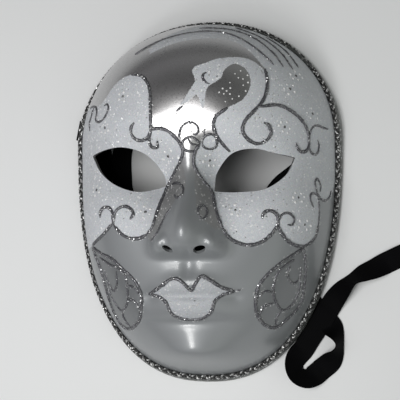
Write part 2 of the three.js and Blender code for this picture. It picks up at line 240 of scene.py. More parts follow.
def distance_to(points, line):
    """Distance of each point of the plan from a row of short straight pieces."""
    best = np.full(len(points), 1e9)
    for a, b in zip(line[:-1], line[1:]):
        way = b - a
        share = np.clip(((points - a) @ way) / max(way @ way, 1e-12), 0.0, 1.0)
        best = np.minimum(best, np.hypot(*(points - a - share[:, None] * way).T))
    return best


def depth_inside(points, outline):
    """Distance from a closed outline, positive for what lies inside it."""
    ring = np.vstack([outline, outline[:1]])
    x, y = points[:, 0], points[:, 1]
    inside = np.zeros(len(points), bool)
    for a, b in zip(ring[:-1], ring[1:]):
        if a[1] != b[1]:
            crossing = a[0] + (y - a[1]) * (b[0] - a[0]) / (b[1] - a[1])
            inside ^= ((a[1] > y) != (b[1] > y)) & (x < crossing)
    return np.where(inside, 1.0, -1.0) * distance_to(points, ring)


# Openings, as in the part's source: upper and lower line of each eye, and the nostrils.
RIGHT_EYE = (
    [(13.4, -3.6), (14.2, 7.5), (22.5, 17), (36, 20), (48, 18), (58.5, 16.5)],
    [(58.5, 16.5), (53.5, 6), (42, -3), (28, -4.5), (13.4, -3.6)],
)
LEFT_EYE = (
    [(-14.8, 0.4), (-17.2, 8), (-25.5, 18), (-39, 23), (-51, 23.5), (-64, 22.2)],
    [(-64, 22.2), (-56, 10.5), (-44, 1.3), (-30, -3), (-14.8, 0.4)],
)
NOSTRILS = ((7.7, -37.2, 3.7, 1.8, 20), (-9.9, -36.7, 2.9, 1.5, -30))

# The scrollwork, in plan. Left and right are those of someone looking down on the face.
LEFT_LOBE = [(-76, 55), (-66, 53), (-57, 51), (-52, 54), (-47, 59.5), (-41, 63.6), (-34, 65), (-27.5, 63),
             (-23, 57.5), (-21.2, 50), (-21, 41), (-21, 31)]
LEFT_INNER = [(-21, 31), (-16.5, 31.5), (-11.5, 30), (-6.2, 25.2), (-2.8, 19), (-4.2, 14), (-7.9, 9.5),
              (-13.2, 2), (-15.7, -6), (-18.2, -16.4), (-20.4, -24.6), (-23.5, -27.8)]
LEFT_SCALLOP = [(-23.5, -27.8), (-27, -29.6), (-32, -30), (-38, -28), (-44, -22)]
LEFT_FOLD = [(-44.6, -21), (-52, -27), (-62, -32), (-73, -34)]
TOP_LINE = [(-35, 80), (-22, 87), (-5, 92), (12, 93), (25, 89), (37, 80), (47, 70)]
FOREHEAD_EDGE = [(-24, 78), (-13, 83), (0, 86), (13, 86.5), (25, 84), (34, 77), (42, 67)]
BIRD_CROWN = [(42.6, 65), (36, 70.6), (30, 72.4), (23.4, 72.4), (15.2, 70.9), (9.8, 68.5), (4.2, 66.5),
              (2.6, 64), (4.1, 59.8), (4.6, 56.9)]
BIRD_BEAK = [(4.6, 56.9), (-3.7, 43.7), (0, 45.2), (5.8, 50), (7.3, 46.5), (8.7, 40.7), (10.1, 44),
             (10.7, 51), (12.2, 54.5)]
BIRD_THROAT = [(12.2, 54.5), (16.7, 57.1), (19.4, 59.5), (19.9, 62.4), (22.4, 66), (26.4, 68.1), (31, 66),
               (34, 62), (35, 55), (31.1, 46.5), (22.9, 41.5), (16.6, 37), (14.7, 33), (15, 29.8)]
NECK_BACK = [(42.5, 66), (44, 57), (42, 47), (37, 40), (32, 34)]
RIGHT_INNER = [(7, 22.7), (4.5, 19), (3, 13.6), (3.4, 9.6), (7.4, 2.5), (11.9, -3.2), (15.1, -13.6),
               (17, -19.5), (19.2, -24.7)]
RIGHT_SCALLOP = [(19.2, -24.7), (22, -29.5), (27, -33), (34, -34.4), (42, -31.5), (49, -23)]
OUTER_SCALLOP = [(49, -23), (51, -28), (56, -33), (62, -34), (67.6, -29), (70, -21), (70.6, -12),
                 (70.1, -4.4)]
LEFT_WING = [(-62, -33), (-55, -37), (-46, -41), (-39, -47), (-32, -53.5), (-29, -60), (-29.4, -67),
             (-32, -75), (-38, -80), (-44, -81), (-49, -77.5), (-52, -71), (-54, -60), (-56, -48),
             (-62, -33)]
RIGHT_WING = [(62, -35), (58, -38), (51, -43), (44, -49), (38, -56), (35.6, -64), (36, -73), (40, -79),
              (44.6, -80), (50, -76), (56, -70), (59.6, -64), (61, -57), (62.6, -45), (62, -35)]
LIPS_TOP = [(-24.4, -61), (-16, -57), (-9.5, -53), (-6, -52.8), (-2, -55.6), (1.4, -59), (4.6, -55),
            (7.4, -51.4), (12, -53.4), (18, -57.4), (25, -59.4)]
LIPS_BOTTOM = [(-24.4, -61), (-18, -62.4), (-13.6, -65.6), (-10.6, -72), (-5, -74.6), (1, -75), (7, -74),
               (11.6, -70.6), (14, -65), (18, -61.6), (25, -59.4)]
LEFT_NOSE_BAND = [(-5, 12), (-7.9, 9.5), (-13.2, 2), (-15.7, -6), (-18.2, -16.4), (-20.4, -24.6),
                  (-23, -29), (-20, -31.8), (-16.5, -28.5), (-12.6, -19.8), (-8.7, -14), (-5.7, -9.1),
                  (-2, -7), (-0.8, -2.3), (-1.5, 3.8), (-3, 9.9)]
RIGHT_NOSE_BAND = [(3.3, 9), (3.6, 4), (4, -2), (5.2, -8), (6.2, -14), (8.4, -19), (12.6, -23.3),
                   (16.4, -26.1), (19.2, -24.7), (17, -19.5), (14.6, -12), (12.6, -5.4), (9.6, -0.3),
                   (5.3, 5.9)]
BUD = [(8.2, 23.4), (8.9, 25.6), (12.4, 27.4), (15.2, 26.3), (16, 24), (15.2, 21.3), (12.5, 20),
       (9.6, 20.1), (8, 21.6), (8.2, 23.4)]

# Spacing of the dense rows that outlines, glue lines and ribbons are drawn with, and for the
# stray glitter beside the lines.
OUTLINE_SPACING = 1.0
LINE_SPACING = 0.8
STRAY_SPACING = 1.6
RIBBON_SPACING = 1.2

# Farther than anything on the mask.
FAR = 99.0

# Raised lines of glitter glue: half width and route.
WIDE_LINE = 1.04
FINE_LINE = 0.76
GLUE_LINES = [
    (WIDE_LINE, LEFT_LOBE[6:] + curl((-28, 32), 7.2, 4.6, -30, -200)),
    (WIDE_LINE, LEFT_INNER),
    (WIDE_LINE, [(-21, 31), (-22.6, 26.5), (-21.8, 22.2), (-18.8, 21.8), (-17.8, 25)]),
    (WIDE_LINE, LEFT_SCALLOP),
    (WIDE_LINE, [(-44, -22), (-43.4, -15.4), (-40.9, -12.4), (-37.3, -11.6), (-33.9, -13), (-31.9, -16),
                 (-33.8, -19.1)]),
    (WIDE_LINE, LEFT_FOLD[:3]),
    (WIDE_LINE, [(-44.6, -21), (-44.8, -15.1), (-46.6, -12.4), (-49, -11.3), (-51.4, -11.7),
                 (-53.2, -13.6), (-53.6, -17.1)]),
    (FINE_LINE, [(-68, 53.4), (-63.2, 52.4), (-60, 50), (-59.2, 46.4), (-60, 42.4), (-57.2, 40.6),
                 (-53.6, 41), (-50.5, 43.6), (-49.1, 47.6), (-50.6, 49.8), (-52.9, 49.3)]),
    (FINE_LINE, [(-62.6, 51.6), (-65.4, 45.7), (-66.7, 42.5), (-66.4, 38)]),
    (FINE_LINE, TOP_LINE),
    (FINE_LINE, [(2, 97), (20, 96), (34, 90), (46, 79), (52, 70)]),
    (FINE_LINE, [(22, 100), (38, 92), (50, 81), (57, 70)]),
    (FINE_LINE, [(40, 95), (52, 85), (60, 73)]),
    (WIDE_LINE, NECK_BACK + [(30.6, 29), (33.4, 24.6), (38, 22.6), (43, 24.6), (45.6, 29), (44.4, 33),
                             (42, 34)]),
    (FINE_LINE, [(11, 62.3), (9.3, 61.7), (8.8, 59.2), (10.2, 56.7), (12.6, 55.4)]),
    (FINE_LINE, [(-2.3, 43.4), (-6.1, 40.2)]),
    (WIDE_LINE, [(40, 42.6), (50, 44.8), (57.6, 42), (62.7, 37.7), (64.8, 33.6), (65.6, 28.4),
                 (65.4, 23.8), (63.8, 20.9), (61.3, 20.2), (59.3, 22.4), (58.7, 25)]),
    (FINE_LINE, [(65.5, 28), (66.7, 33.5), (68.6, 36.7), (71.3, 37.9), (73.7, 37.4), (76.3, 37.8)]),
    (FINE_LINE, [(65.4, 24.5), (66.7, 20.9), (68.9, 19.9), (70.5, 22.1), (71, 25.8), (70.4, 29.3)]),
    (WIDE_LINE, BIRD_THROAT[-4:] + [(16.1, 26.7), (17.5, 24.4), (19.7, 21.6), (22.6, 18.6)]),
    (FINE_LINE, BUD),
    (FINE_LINE, [(9.5, 29.7), (9.5, 26.8)]),
    (WIDE_LINE, RIGHT_INNER),
    (WIDE_LINE, RIGHT_SCALLOP + curl((44.4, -19.6), 4.9, 3.6, -20, 205)),
    (WIDE_LINE, OUTER_SCALLOP[:6]),
    (FINE_LINE, OUTER_SCALLOP[5:]),
    (FINE_LINE, [(49, -22), (51.4, -17.2), (55, -16.4), (57.4, -19), (56.6, -22.6), (54, -22.8)]),
    (FINE_LINE, [(71.3, -1.5), (71.6, 1.6), (70.9, 4.4), (69.8, 5.9), (68.7, 3.6), (69.1, 0),
                 (70.2, -3.5), (71.9, -5.8), (74, -6), (76.1, -3.5), (77.3, 0.7)]),
    (FINE_LINE, [(70, -4.4), (68.1, -3.1), (66.5, -4), (66, -6.4), (66.7, -9.2), (67.8, -11.3)]),
    (WIDE_LINE, LEFT_WING),
    (FINE_LINE, [(-56, -39.5), (-48, -44), (-42, -46.6), (-38, -51), (-37.4, -59), (-39.6, -67),
                 (-44.6, -70), (-49, -65), (-52.6, -57)]),
    (FINE_LINE, [(-44, -48), (-44.6, -55), (-48, -59), (-51.4, -54), (-53.4, -47)]),
    (FINE_LINE, [(-37, -56), (-33.6, -56.8), (-29.4, -62)]),
    (FINE_LINE, [(-38.4, -64), (-34, -64.6), (-30.4, -70)]),
    (FINE_LINE, [(-44, -70.4), (-43.6, -75), (-40.4, -80)]),
    (WIDE_LINE, RIGHT_WING),
    (FINE_LINE, [(57, -41.6), (52.6, -44.6), (47.6, -50), (45.2, -58), (46, -65.4), (49.4, -70),
                 (54, -67), (57.6, -61), (59.4, -54)]),
    (FINE_LINE, [(54.6, -45), (53, -50), (55.6, -55), (59, -52), (60, -46)]),
    (FINE_LINE, [(36.6, -63), (40.6, -59.6), (45, -60)]),
    (FINE_LINE, [(36.6, -73), (39.4, -68), (44.6, -66)]),
    (FINE_LINE, [(45, -80), (45.6, -74.6), (48.6, -70)]),
    (WIDE_LINE, LIPS_TOP),
    (WIDE_LINE, LIPS_BOTTOM),
    (FINE_LINE, [(25, -59.4), (28, -58.6)]),
    (FINE_LINE, [(-4.6, 25.6), (-4.5, 28.4), (-2.3, 32.7), (2, 34.2), (5.6, 32), (6.3, 29.4), (4.6, 27),
                 (3.2, 27.7)]),
    (FINE_LINE, [(8, 23.2), (6.2, 23.2), (4.5, 24.9), (2, 25.9), (-0.9, 25.1), (-2.8, 23), (-2.7, 20.2),
                 (-0.5, 18.3), (2, 17.9), (4.4, 18.8), (6, 21.2)]),
    (FINE_LINE, [(0.6, 25.1), (1.3, 23.2), (2.6, 21.9), (5, 21.8)]),
    (FINE_LINE, LEFT_NOSE_BAND[7:11]),
    (FINE_LINE, [(-12.2, -0.3), (-9.6, 1.2), (-5.9, 0.5), (-2.7, -1.8), (-1.7, -4.7), (-2.6, -7.6),
                 (-5.4, -8.5), (-7.3, -6.4)]),
    (FINE_LINE, [(7.4, -18), (7.3, -14.6), (8.7, -12.7), (10.6, -14.2), (11.4, -17.4), (10.4, -20.3),
                 (8.6, -20.2), (7.4, -18)]),
]

# Flowers of five or six dabs round a darker one: places, radius of the ring, turn from one flower
# to the next in degrees, and radius of a dab. Smaller dabs are strewn in the dark pocket.
FLOWERS = [(-39, 52), (-52, 36), (-13, 17), (-58, 0), (-25, -15), (11, 14), (26, -15), (60, -7),
           (63, -22), (53, 33), (56, 56), (59, 66), (68, 44)]
FLOWER_RING = 3.0
FLOWER_TURN = 72.0 * 0.37
DAB_RADIUS = 0.8
HEART_RADIUS = 1.05 * DAB_RADIUS
STREWN_SHARE = 0.62
STREWN_DABS = [(22.3, 51.2), (20.1, 52.6), (24.3, 52.9), (24.1, 49.4), (20.8, 49.5), (28.5, 59.2),
               (24, 56.1), (31.2, 54.8), (31, 58.6), (33.4, 61), (33.8, 56.6), (32.6, 51.4), (29, 48.2),
               (25.4, 46.6), (21.6, 45), (26.6, 61.6), (29.6, 63.6), (18.2, 50.4)]


def joined(*routes):
    """The outline made of several routes end to end, as one dense row."""
    return np.vstack([through(route, OUTLINE_SPACING)[0] for route in routes])


def beyond_rim(*corners):
    """Corners of an outline outside the mask, where its exact course doesn't matter."""
    return np.array(corners, float)


def white_fields():
    """Outlines of the areas painted with white glitter."""
    left = [joined(LEFT_LOBE, LEFT_INNER, LEFT_SCALLOP, LEFT_FOLD), beyond_rim((-110, -34), (-110, 54))]
    bud = [(15, 29.8), (15.2, 26.3), (12.4, 27.4), (8.9, 25.6), (7, 22.7)]
    right = [
        beyond_rim((-26, 82)),
        joined(FOREHEAD_EDGE, BIRD_CROWN),
        np.array(BIRD_BEAK, float),
        joined(BIRD_THROAT, bud, RIGHT_INNER, RIGHT_SCALLOP, OUTER_SCALLOP),
        beyond_rim((73, -6.4), (77, -4), (80, 8), (110, 8), (110, 120), (14, 120), (2, 102), (-14, 94)),
    ]
    lips = joined(LIPS_TOP, LIPS_BOTTOM[::-1])
    return [np.vstack(left), np.vstack(right), lips]


def petal_spots():
    """Where the dabs of the flowers' petals lie in plan, set down as unevenly as by hand."""
    spots = []
    for k, (x, y) in enumerate(FLOWERS):
        turn = math.radians(FLOWER_TURN * k)
        count = 5 + k % 2
        for petal in range(count):
            uneven = math.sin(2.3 * k + 1.7 * petal)
            angle = turn + 2.0 * math.pi * petal / count + 0.16 * uneven
            reach = FLOWER_RING * (1.0 + 0.12 * math.cos(3.1 * k + 2.9 * petal))
            spots.append((x + reach * math.cos(angle), y + reach * math.sin(angle)))
    return spots


def cut_grid(plan, quads, keep):
    """The quads without what lies where keep is negative, cut cleanly along its zero line."""
    state = keep[quads] >= 0
    faces = quads[state.all(axis=1)].tolist()
    points = plan.tolist()
    made = {}

    def crossing_point(a, b):
        key = (min(a, b), max(a, b))
        if key not in made:
            share = keep[a] / (keep[a] - keep[b])
            made[key] = len(points)
            points.append((plan[a] + share * (plan[b] - plan[a])).tolist())
        return made[key]

    for quad in quads[state.any(axis=1) & ~state.all(axis=1)].tolist():
        ring = []
        for a, b in zip(quad, quad[1:] + quad[:1]):
            if keep[a] >= 0:
                ring.append(a)
            if (keep[a] >= 0) != (keep[b] >= 0):
                ring.append(crossing_point(a, b))
        if len(ring) >= 3:
            faces.append(ring)
    used = sorted({i for face in faces for i in face})
    renumber = {old: new for new, old in enumerate(used)}
    return np.array(points)[used], [[renumber[i] for i in face] for face in faces]


# How the shell's grid is spaced: denser in the middle, moved towards the mouth, and closing up
# again at the rim.
GRID = {"dense_across": 0.22, "dense_along": 0.18, "towards_mouth": 0.12, "dense_rim": 0.34}


def shell_plan(columns, rows):
    """A square grid bent to the rim's shape: its points in plan, and its quads."""
    s, t = np.meshgrid(np.linspace(-1.0, 1.0, columns + 1), np.linspace(-1.0, 1.0, rows + 1))
    a = (1.0 - GRID["dense_across"]) * s + GRID["dense_across"] * s ** 3
    b = (1.0 - GRID["dense_along"]) * t + GRID["dense_along"] * t ** 3
    b = b - GRID["towards_mouth"] * (1.0 - t * t)
    u = a * np.sqrt(1.0 - 0.5 * b * b)
    v = b * np.sqrt(1.0 - 0.5 * a * a)
    angle = np.arctan2(v, u)
    bend = GRID["dense_rim"] * math.pi
    r = np.sin(np.hypot(u, v) * bend) / math.sin(bend) * rim_radius(angle)
    plan = np.column_stack([(r * np.cos(angle)).ravel(), (WIDEST_Y + r * np.sin(angle)).ravel()])
    first = (np.arange(rows)[:, None] * (columns + 1) + np.arange(columns)[None, :]).ravel()
    quads = np.column_stack([first, first + 1, first + columns + 2, first + columns + 1])
    return plan, quads


def clear_of_openings(plan):
    """Distance from the eyes and the nostrils, negative inside them."""
    keep = np.full(len(plan), FAR)
    for upper, lower in (RIGHT_EYE, LEFT_EYE):
        keep = np.minimum(keep, -depth_inside(plan, joined(upper, lower)))
    for x, y, long, short, degrees in NOSTRILS:
        turn = math.radians(degrees)
        dx = plan[:, 0] - x
        dy = plan[:, 1] - y
        along = (dx * math.cos(turn) + dy * math.sin(turn)) / long
        across = (dy * math.cos(turn) - dx * math.sin(turn)) / short
        keep = np.minimum(keep, (np.hypot(along, across) - 1.0) * short)
    return keep


def moulded_shell(shell):
    """The closed shell, the plan of its outer side, and how many faces come before the inner side's."""
    plan, quads = shell_plan(shell.columns, shell.rows)
    plan, faces = cut_grid(plan, quads, clear_of_openings(plan))
    outer = on_face(plan)
    inner = outer - shell.wall / MM * face_normals(plan[:, 0], plan[:, 1], with_fine=False)
    angle = np.arctan2(plan[:, 1] - WIDEST_Y, plan[:, 0])
    inner[:, 2] = np.maximum(inner[:, 2], EDGE_Z + arch_rise(angle))
    count = len(plan)
    ways = {(a, b) for face in faces for a, b in zip(face, face[1:] + face[:1])}
    sides = sorted((b, a, a + count, b + count) for a, b in ways if (b, a) not in ways)
    backs = [[i + count for i in reversed(face)] for face in faces]
    piece = new_object("mask_shell_painted", np.vstack([outer, inner]), faces + sides + backs)
    if len(piece.data.polygons) != 2 * len(faces) + len(sides):
        raise RuntimeError("the shell's mesh lost faces")
    return piece, plan, len(faces) + len(sides)


def paint_fields(plan):
    """For each point of the plan, how far it lies inside each painted area, and from the glue."""
    white = np.full(len(plan), -FAR)
    for outline in white_fields():
        white = np.maximum(white, depth_inside(plan, outline))
    near = np.full(len(plan), FAR)
    for half_width, route in GLUE_LINES:
        near = np.minimum(near, distance_to(plan, through(route, STRAY_SPACING)[0]) - half_width)
    bands = [joined(band + band[:1]) for band in (LEFT_NOSE_BAND, RIGHT_NOSE_BAND)]
    wings = [joined(wing) for wing in (LEFT_WING, RIGHT_WING)]
    return {
        "white": white,
        "nose_band": np.maximum(*(depth_inside(plan, outline) for outline in bands)),
        "wing": np.maximum(*(depth_inside(plan, outline) for outline in wings)),
        "near_line": near,
    }


def new_object(name, points, faces, edges=()):
    """A mesh object from points in millimetres, linked to the scene."""
    mesh = bpy.data.meshes.new(name)
    mesh.from_pydata((np.asarray(points, float) * MM).tolist(), list(edges), faces)
    mesh.validate()
    mesh.update()
    obj = bpy.data.objects.new(name, mesh)
    bpy.context.scene.collection.objects.link(obj)
    return obj


def store(obj, name, values, kind="FLOAT"):
    """Values at the points of a mesh, for its materials or its tree."""
    layer = obj.data.attributes.new(name, kind, "POINT")
    field = "vector" if kind == "FLOAT_VECTOR" else "value"
    layer.data.foreach_set(field, np.asarray(values, np.float32).ravel())


def smooth_faces(obj, sharp_angle):
    """Smooth shading, with edges sharper than an angle in degrees kept."""
    obj.data.polygons.foreach_set("use_smooth", np.ones(len(obj.data.polygons), bool))
    obj.data.set_sharp_from_angle(angle=math.radians(sharp_angle))


def guide(name, rows, closed=False, **fields):
    """Rows of points joined by edges, with a value or vector of each field at every point."""
    edges = []
    start = 0
    for row in rows:
        count = len(row)
        edges += [(start + k, start + k + 1) for k in range(count - 1)]
        if closed:
            edges.append((start + count - 1, start))
        start += count
    obj = new_object(name, np.vstack(rows), [], edges)
    for field, values in fields.items():
        values = np.concatenate(values) if isinstance(values, list) else values
        store(obj, field, values, "FLOAT_VECTOR" if np.ndim(values) == 2 else "FLOAT")
    return obj


class Graph:
    """A short way to place nodes in a tree and join them."""

    def __init__(self, tree):
        self.tree = tree

    def add(self, kind, feeds=None, **settings):
        """A node with these settings, its sockets fed by other sockets or set to values."""
        node = self.tree.nodes.new(kind)
        for key, value in settings.items():
            setattr(node, key, value)
        for key, value in (feeds or {}).items():
            self.feed(node.inputs[key], value)
        return node

    def feed(self, socket, value):
        if isinstance(value, bpy.types.NodeSocket):
            self.tree.links.new(value, socket)
        else:
            socket.default_value = value

    def math(self, operation, *values):
        return self.add("ShaderNodeMath", dict(enumerate(values)), operation=operation).outputs[0]

    def vector(self, operation, *values):
        return self.add("ShaderNodeVectorMath", dict(enumerate(values)), operation=operation).outputs[0]

    def scaled(self, vector, factor):
        feeds = {0: vector, "Scale": factor}
        return self.add("ShaderNodeVectorMath", feeds, operation="SCALE").outputs[0]

    def step(self, value, start, end, low=0.0, high=1.0):
        feeds = {0: value, 1: start, 2: end, 3: low, 4: high}
        return self.add("ShaderNodeMapRange", feeds, interpolation_type="SMOOTHSTEP").outputs[0]

    def mix(self, factor, a, b):
        return self.add("ShaderNodeMix", {0: factor, 6: a, 7: b}, data_type="RGBA").outputs[2]

    def blend(self, factor, a, b):
        return self.add("ShaderNodeMix", {0: factor, 2: a, 3: b}, data_type="FLOAT").outputs[0]

    def tilted(self, share, normal, other):
        feeds = {0: share, 4: normal, 5: other}
        return self.add("ShaderNodeMix", feeds, data_type="VECTOR").outputs[1]

    def bump(self, strength, distance, height):
        feeds = {"Strength": strength, "Distance": distance, "Height": height}
        return self.add("ShaderNodeBump", feeds).outputs[0]

    def place(self):
        return self.add("ShaderNodeTexCoord").outputs["Object"]

    def upright(self):
        return self.add("ShaderNodeNewGeometry").outputs["Normal"]

    def axes(self, vector):
        return self.add("ShaderNodeSeparateXYZ", {0: vector}).outputs

    def shape(self, kind, feeds, **settings):
        """The first result of a geometry node."""
        return self.add("GeometryNode" + kind, feeds, **settings).outputs[0]

    def noise(self, vector, scale, detail=2.0, roughness=0.5):
        feeds = {"Vector": vector, "Scale": scale, "Detail": detail, "Roughness": roughness}
        return self.add("ShaderNodeTexNoise", feeds).outputs["Fac"]

    def field(self, name):
        return self.add("ShaderNodeAttribute", attribute_name=name).outputs["Fac"]

    def named(self, name, kind="FLOAT"):
        return self.add("GeometryNodeInputNamedAttribute", {"Name": name}, data_type=kind).outputs[0]


def new_tree(name, kind, inputs, outputs):
    """A node group with named sockets, its Graph, and its input and output nodes."""
    tree = bpy.data.node_groups.new(name, kind)
    for label, socket, *default in inputs:
        item = tree.interface.new_socket(label, in_out="INPUT", socket_type=socket)
        if default:
            item.default_value = default[0]
    for label, socket in outputs:
        tree.interface.new_socket(label, in_out="OUTPUT", socket_type=socket)
    graph = Graph(tree)
    return graph, graph.add("NodeGroupInput").outputs, graph.add("NodeGroupOutput").inputs


GEOMETRY = "NodeSocketGeometry"
NUMBER = "NodeSocketFloat"
WHOLE = "NodeSocketInt"
PLACE = "NodeSocketVector"
COLOUR = "NodeSocketColor"
FINISH = "NodeSocketMaterial"


def grown(carrier, tree, name, **values):
    """Runs a tree on its carrier and gives the result as a plain mesh object in its place."""
    modifier = carrier.modifiers.new("grow", "NODES")
    modifier.node_group = tree
    for item in tree.interface.items_tree:
        key = item.name.lower().replace(" ", "_")
        if item.in_out == "INPUT" and key in values:
            modifier[item.identifier] = values[key]
    bpy.context.view_layer.update()
    evaluated = carrier.evaluated_get(bpy.context.evaluated_depsgraph_get())
    mesh = bpy.data.meshes.new_from_object(evaluated)
    bpy.data.objects.remove(carrier)
    mesh.name = name
    obj = bpy.data.objects.new(name, mesh)
    bpy.context.scene.collection.objects.link(obj)
    return obj


FLAKE_SEED = 7


def glue_line_tree():
    """Beads of glitter glue along lines, with small tilted flakes of foil on them."""
    inputs = [("Geometry", GEOMETRY), ("Unevenness", NUMBER, 0.8), ("Step", NUMBER, 0.0008),
              ("Flake Radius", NUMBER, 0.0003), ("Flakes per Square Metre", NUMBER, 900000.0),
              ("Seed", WHOLE, FLAKE_SEED), ("Glue", FINISH), ("Foil", FINISH)]
    g, given, result = new_tree("Glitter glue line", "GeometryNodeTree", inputs, [("Geometry", GEOMETRY)])
    curve = g.shape("MeshToCurve", {"Mesh": given["Geometry"]})
    curve = g.shape("ResampleCurve", {"Curve": curve, "Length": given["Step"]}, mode="LENGTH")
    place = g.add("GeometryNodeInputPosition").outputs[0]
    lumps = g.math("SUBTRACT", g.noise(place, 420.0, 1.0), 0.5)
    lumps = g.math("MULTIPLY_ADD", lumps, given["Unevenness"], 1.0)
    width = g.math("MULTIPLY", g.named("half_width"), lumps)
    profile = g.shape("CurvePrimitiveCircle", {"Resolution": 8, "Radius": 1.0})
    feeds = {"Curve": curve, "Profile Curve": profile, "Scale": width, "Fill Caps": True}
    bead = g.shape("CurveToMesh", feeds)
    grain = g.math("MULTIPLY", g.math("SUBTRACT", g.noise(place, 1500.0, 1.0), 0.5), 0.0004)
    along = g.add("GeometryNodeInputNormal").outputs[0]
    push = g.scaled(along, grain)
    bead = g.shape("SetPosition", {"Geometry": bead, "Offset": push})
    bead = g.shape("SetShadeSmooth", {"Geometry": bead})
    feeds = {"Mesh": bead, "Density": given["Flakes per Square Metre"], "Seed": given["Seed"]}
    scatter = g.add("GeometryNodeDistributePointsOnFaces", feeds)
    feeds = {"Vertices": 5, "Radius": given["Flake Radius"]}
    flake = g.shape("MeshCircle", feeds, fill_type="NGON")
    feeds = {0: (-0.55, -0.55, -3.1), 1: (0.55, 0.55, 3.1), "Seed": given["Seed"]}
    tilt = g.add("FunctionNodeRandomValue", feeds, data_type="FLOAT_VECTOR").outputs[0]
    feeds = {"Rotation": scatter.outputs["Rotation"], "Rotate By": tilt}
    turn = g.add("FunctionNodeRotateRotation", feeds, rotation_space="LOCAL").outputs[0]
    feeds = {2: 0.6, 3: 1.4, "Seed": given["Seed"]}
    size = g.add("FunctionNodeRandomValue", feeds, data_type="FLOAT").outputs[1]
    feeds = {"Points": scatter.outputs["Points"], "Instance": flake, "Rotation": turn, "Scale": size}
    flakes = g.shape("InstanceOnPoints", feeds)
    flakes = g.shape("RealizeInstances", {"Geometry": flakes})
    flakes = g.shape("SetMaterial", {"Geometry": flakes, "Material": given["Foil"]})
    bead = g.shape("SetMaterial", {"Geometry": bead, "Material": given["Glue"]})
    both = g.add("GeometryNodeJoinGeometry")
    g.tree.links.new(flakes, both.inputs[0])
    g.tree.links.new(bead, both.inputs[0])
    g.feed(result["Geometry"], both.outputs[0])
    return g.tree


def dab_tree():
    """A low round dab of paint on every point, lying along its field out."""
    inputs = [("Geometry", GEOMETRY), ("Flatness", NUMBER, 0.42), ("Paint", FINISH)]
    g, given, result = new_tree("Paint dab", "GeometryNodeTree", inputs, [("Geometry", GEOMETRY)])
    points = g.shape("MeshToPoints", {"Mesh": given["Geometry"]})
    dab = g.shape("MeshIcoSphere", {"Radius": 1.0, "Subdivisions": 2})
    feeds = {"Vector": g.named("out", "FLOAT_VECTOR")}
    turn = g.add("FunctionNodeAlignRotationToVector", feeds, axis="Z").outputs[0]
    size = g.named("size")
    height = g.math("MULTIPLY", size, given["Flatness"])
    scale = g.add("ShaderNodeCombineXYZ", {0: size, 1: size, 2: height}).outputs[0]
    feeds = {"Points": points, "Instance": dab, "Rotation": turn, "Scale": scale}
    dabs = g.shape("InstanceOnPoints", feeds)
    dabs = g.shape("RealizeInstances", {"Geometry": dabs})
    dabs = g.shape("SetShadeSmooth", {"Geometry": dabs})
    dabs = g.shape("SetMaterial", {"Geometry": dabs, "Material": given["Paint"]})
    g.feed(result["Geometry"], dabs)
    return g.tree


def plait_tree():
    """Three strands plaited along a closed line, one of bright thread and two of dark thread."""
    inputs = [("Geometry", GEOMETRY), ("Crossings", NUMBER, 104.0), ("Sway", NUMBER, 0.00085),
              ("Lift", NUMBER, 0.00045), ("Strand Radius", NUMBER, 0.0006), ("Steps", WHOLE, 1456),
              ("Bright Thread", FINISH), ("Dark Thread", FINISH)]
    g, given, result = new_tree("Plait", "GeometryNodeTree", inputs, [("Geometry", GEOMETRY)])
    curve = g.shape("MeshToCurve", {"Mesh": given["Geometry"]})
    curve = g.shape("ResampleCurve", {"Curve": curve, "Count": given["Steps"]}, mode="COUNT")
    along = g.add("GeometryNodeSplineParameter").outputs["Factor"]
    both = g.add("GeometryNodeJoinGeometry")
    for strand in range(3):
        turns = g.math("ADD", g.math("MULTIPLY", along, given["Crossings"]), strand / 3.0)
        phase = g.math("MULTIPLY", turns, 2.0 * math.pi)
        sway = g.math("MULTIPLY", g.math("SINE", phase), given["Sway"])
        lift = g.math("MULTIPLY", g.math("SINE", g.math("MULTIPLY", phase, 2.0)), given["Lift"])
        aside = g.scaled(g.named("across", "FLOAT_VECTOR"), sway)
        above = g.scaled(g.named("out", "FLOAT_VECTOR"), lift)
        offset = g.vector("ADD", aside, above)
        line = g.shape("SetPosition", {"Geometry": curve, "Offset": offset})
        feeds = {"Resolution": 8, "Radius": given["Strand Radius"]}
        profile = g.shape("CurvePrimitiveCircle", feeds)
        tube = g.shape("CurveToMesh", {"Curve": line, "Profile Curve": profile})
        tube = g.shape("SetShadeSmooth", {"Geometry": tube})
        thread = given["Bright Thread"] if strand == 0 else given["Dark Thread"]
        tube = g.shape("SetMaterial", {"Geometry": tube, "Material": thread})
        g.tree.links.new(tube, both.inputs[0])
    done = g.shape("RealizeInstances", {"Geometry": both.outputs[0]})
    g.feed(result["Geometry"], done)
    return g.tree


def shader_group(name, inputs, outputs):
    """An existing shader group of that name, or a new one with its Graph and sockets."""
    if name in bpy.data.node_groups:
        return bpy.data.node_groups[name], None, None, None
    g, given, result = new_tree(name, "ShaderNodeTree", inputs, outputs)
    return g.tree, g, given, result


FLAKE_TINT = (0.62, 0.80, 0.86, 1.0)


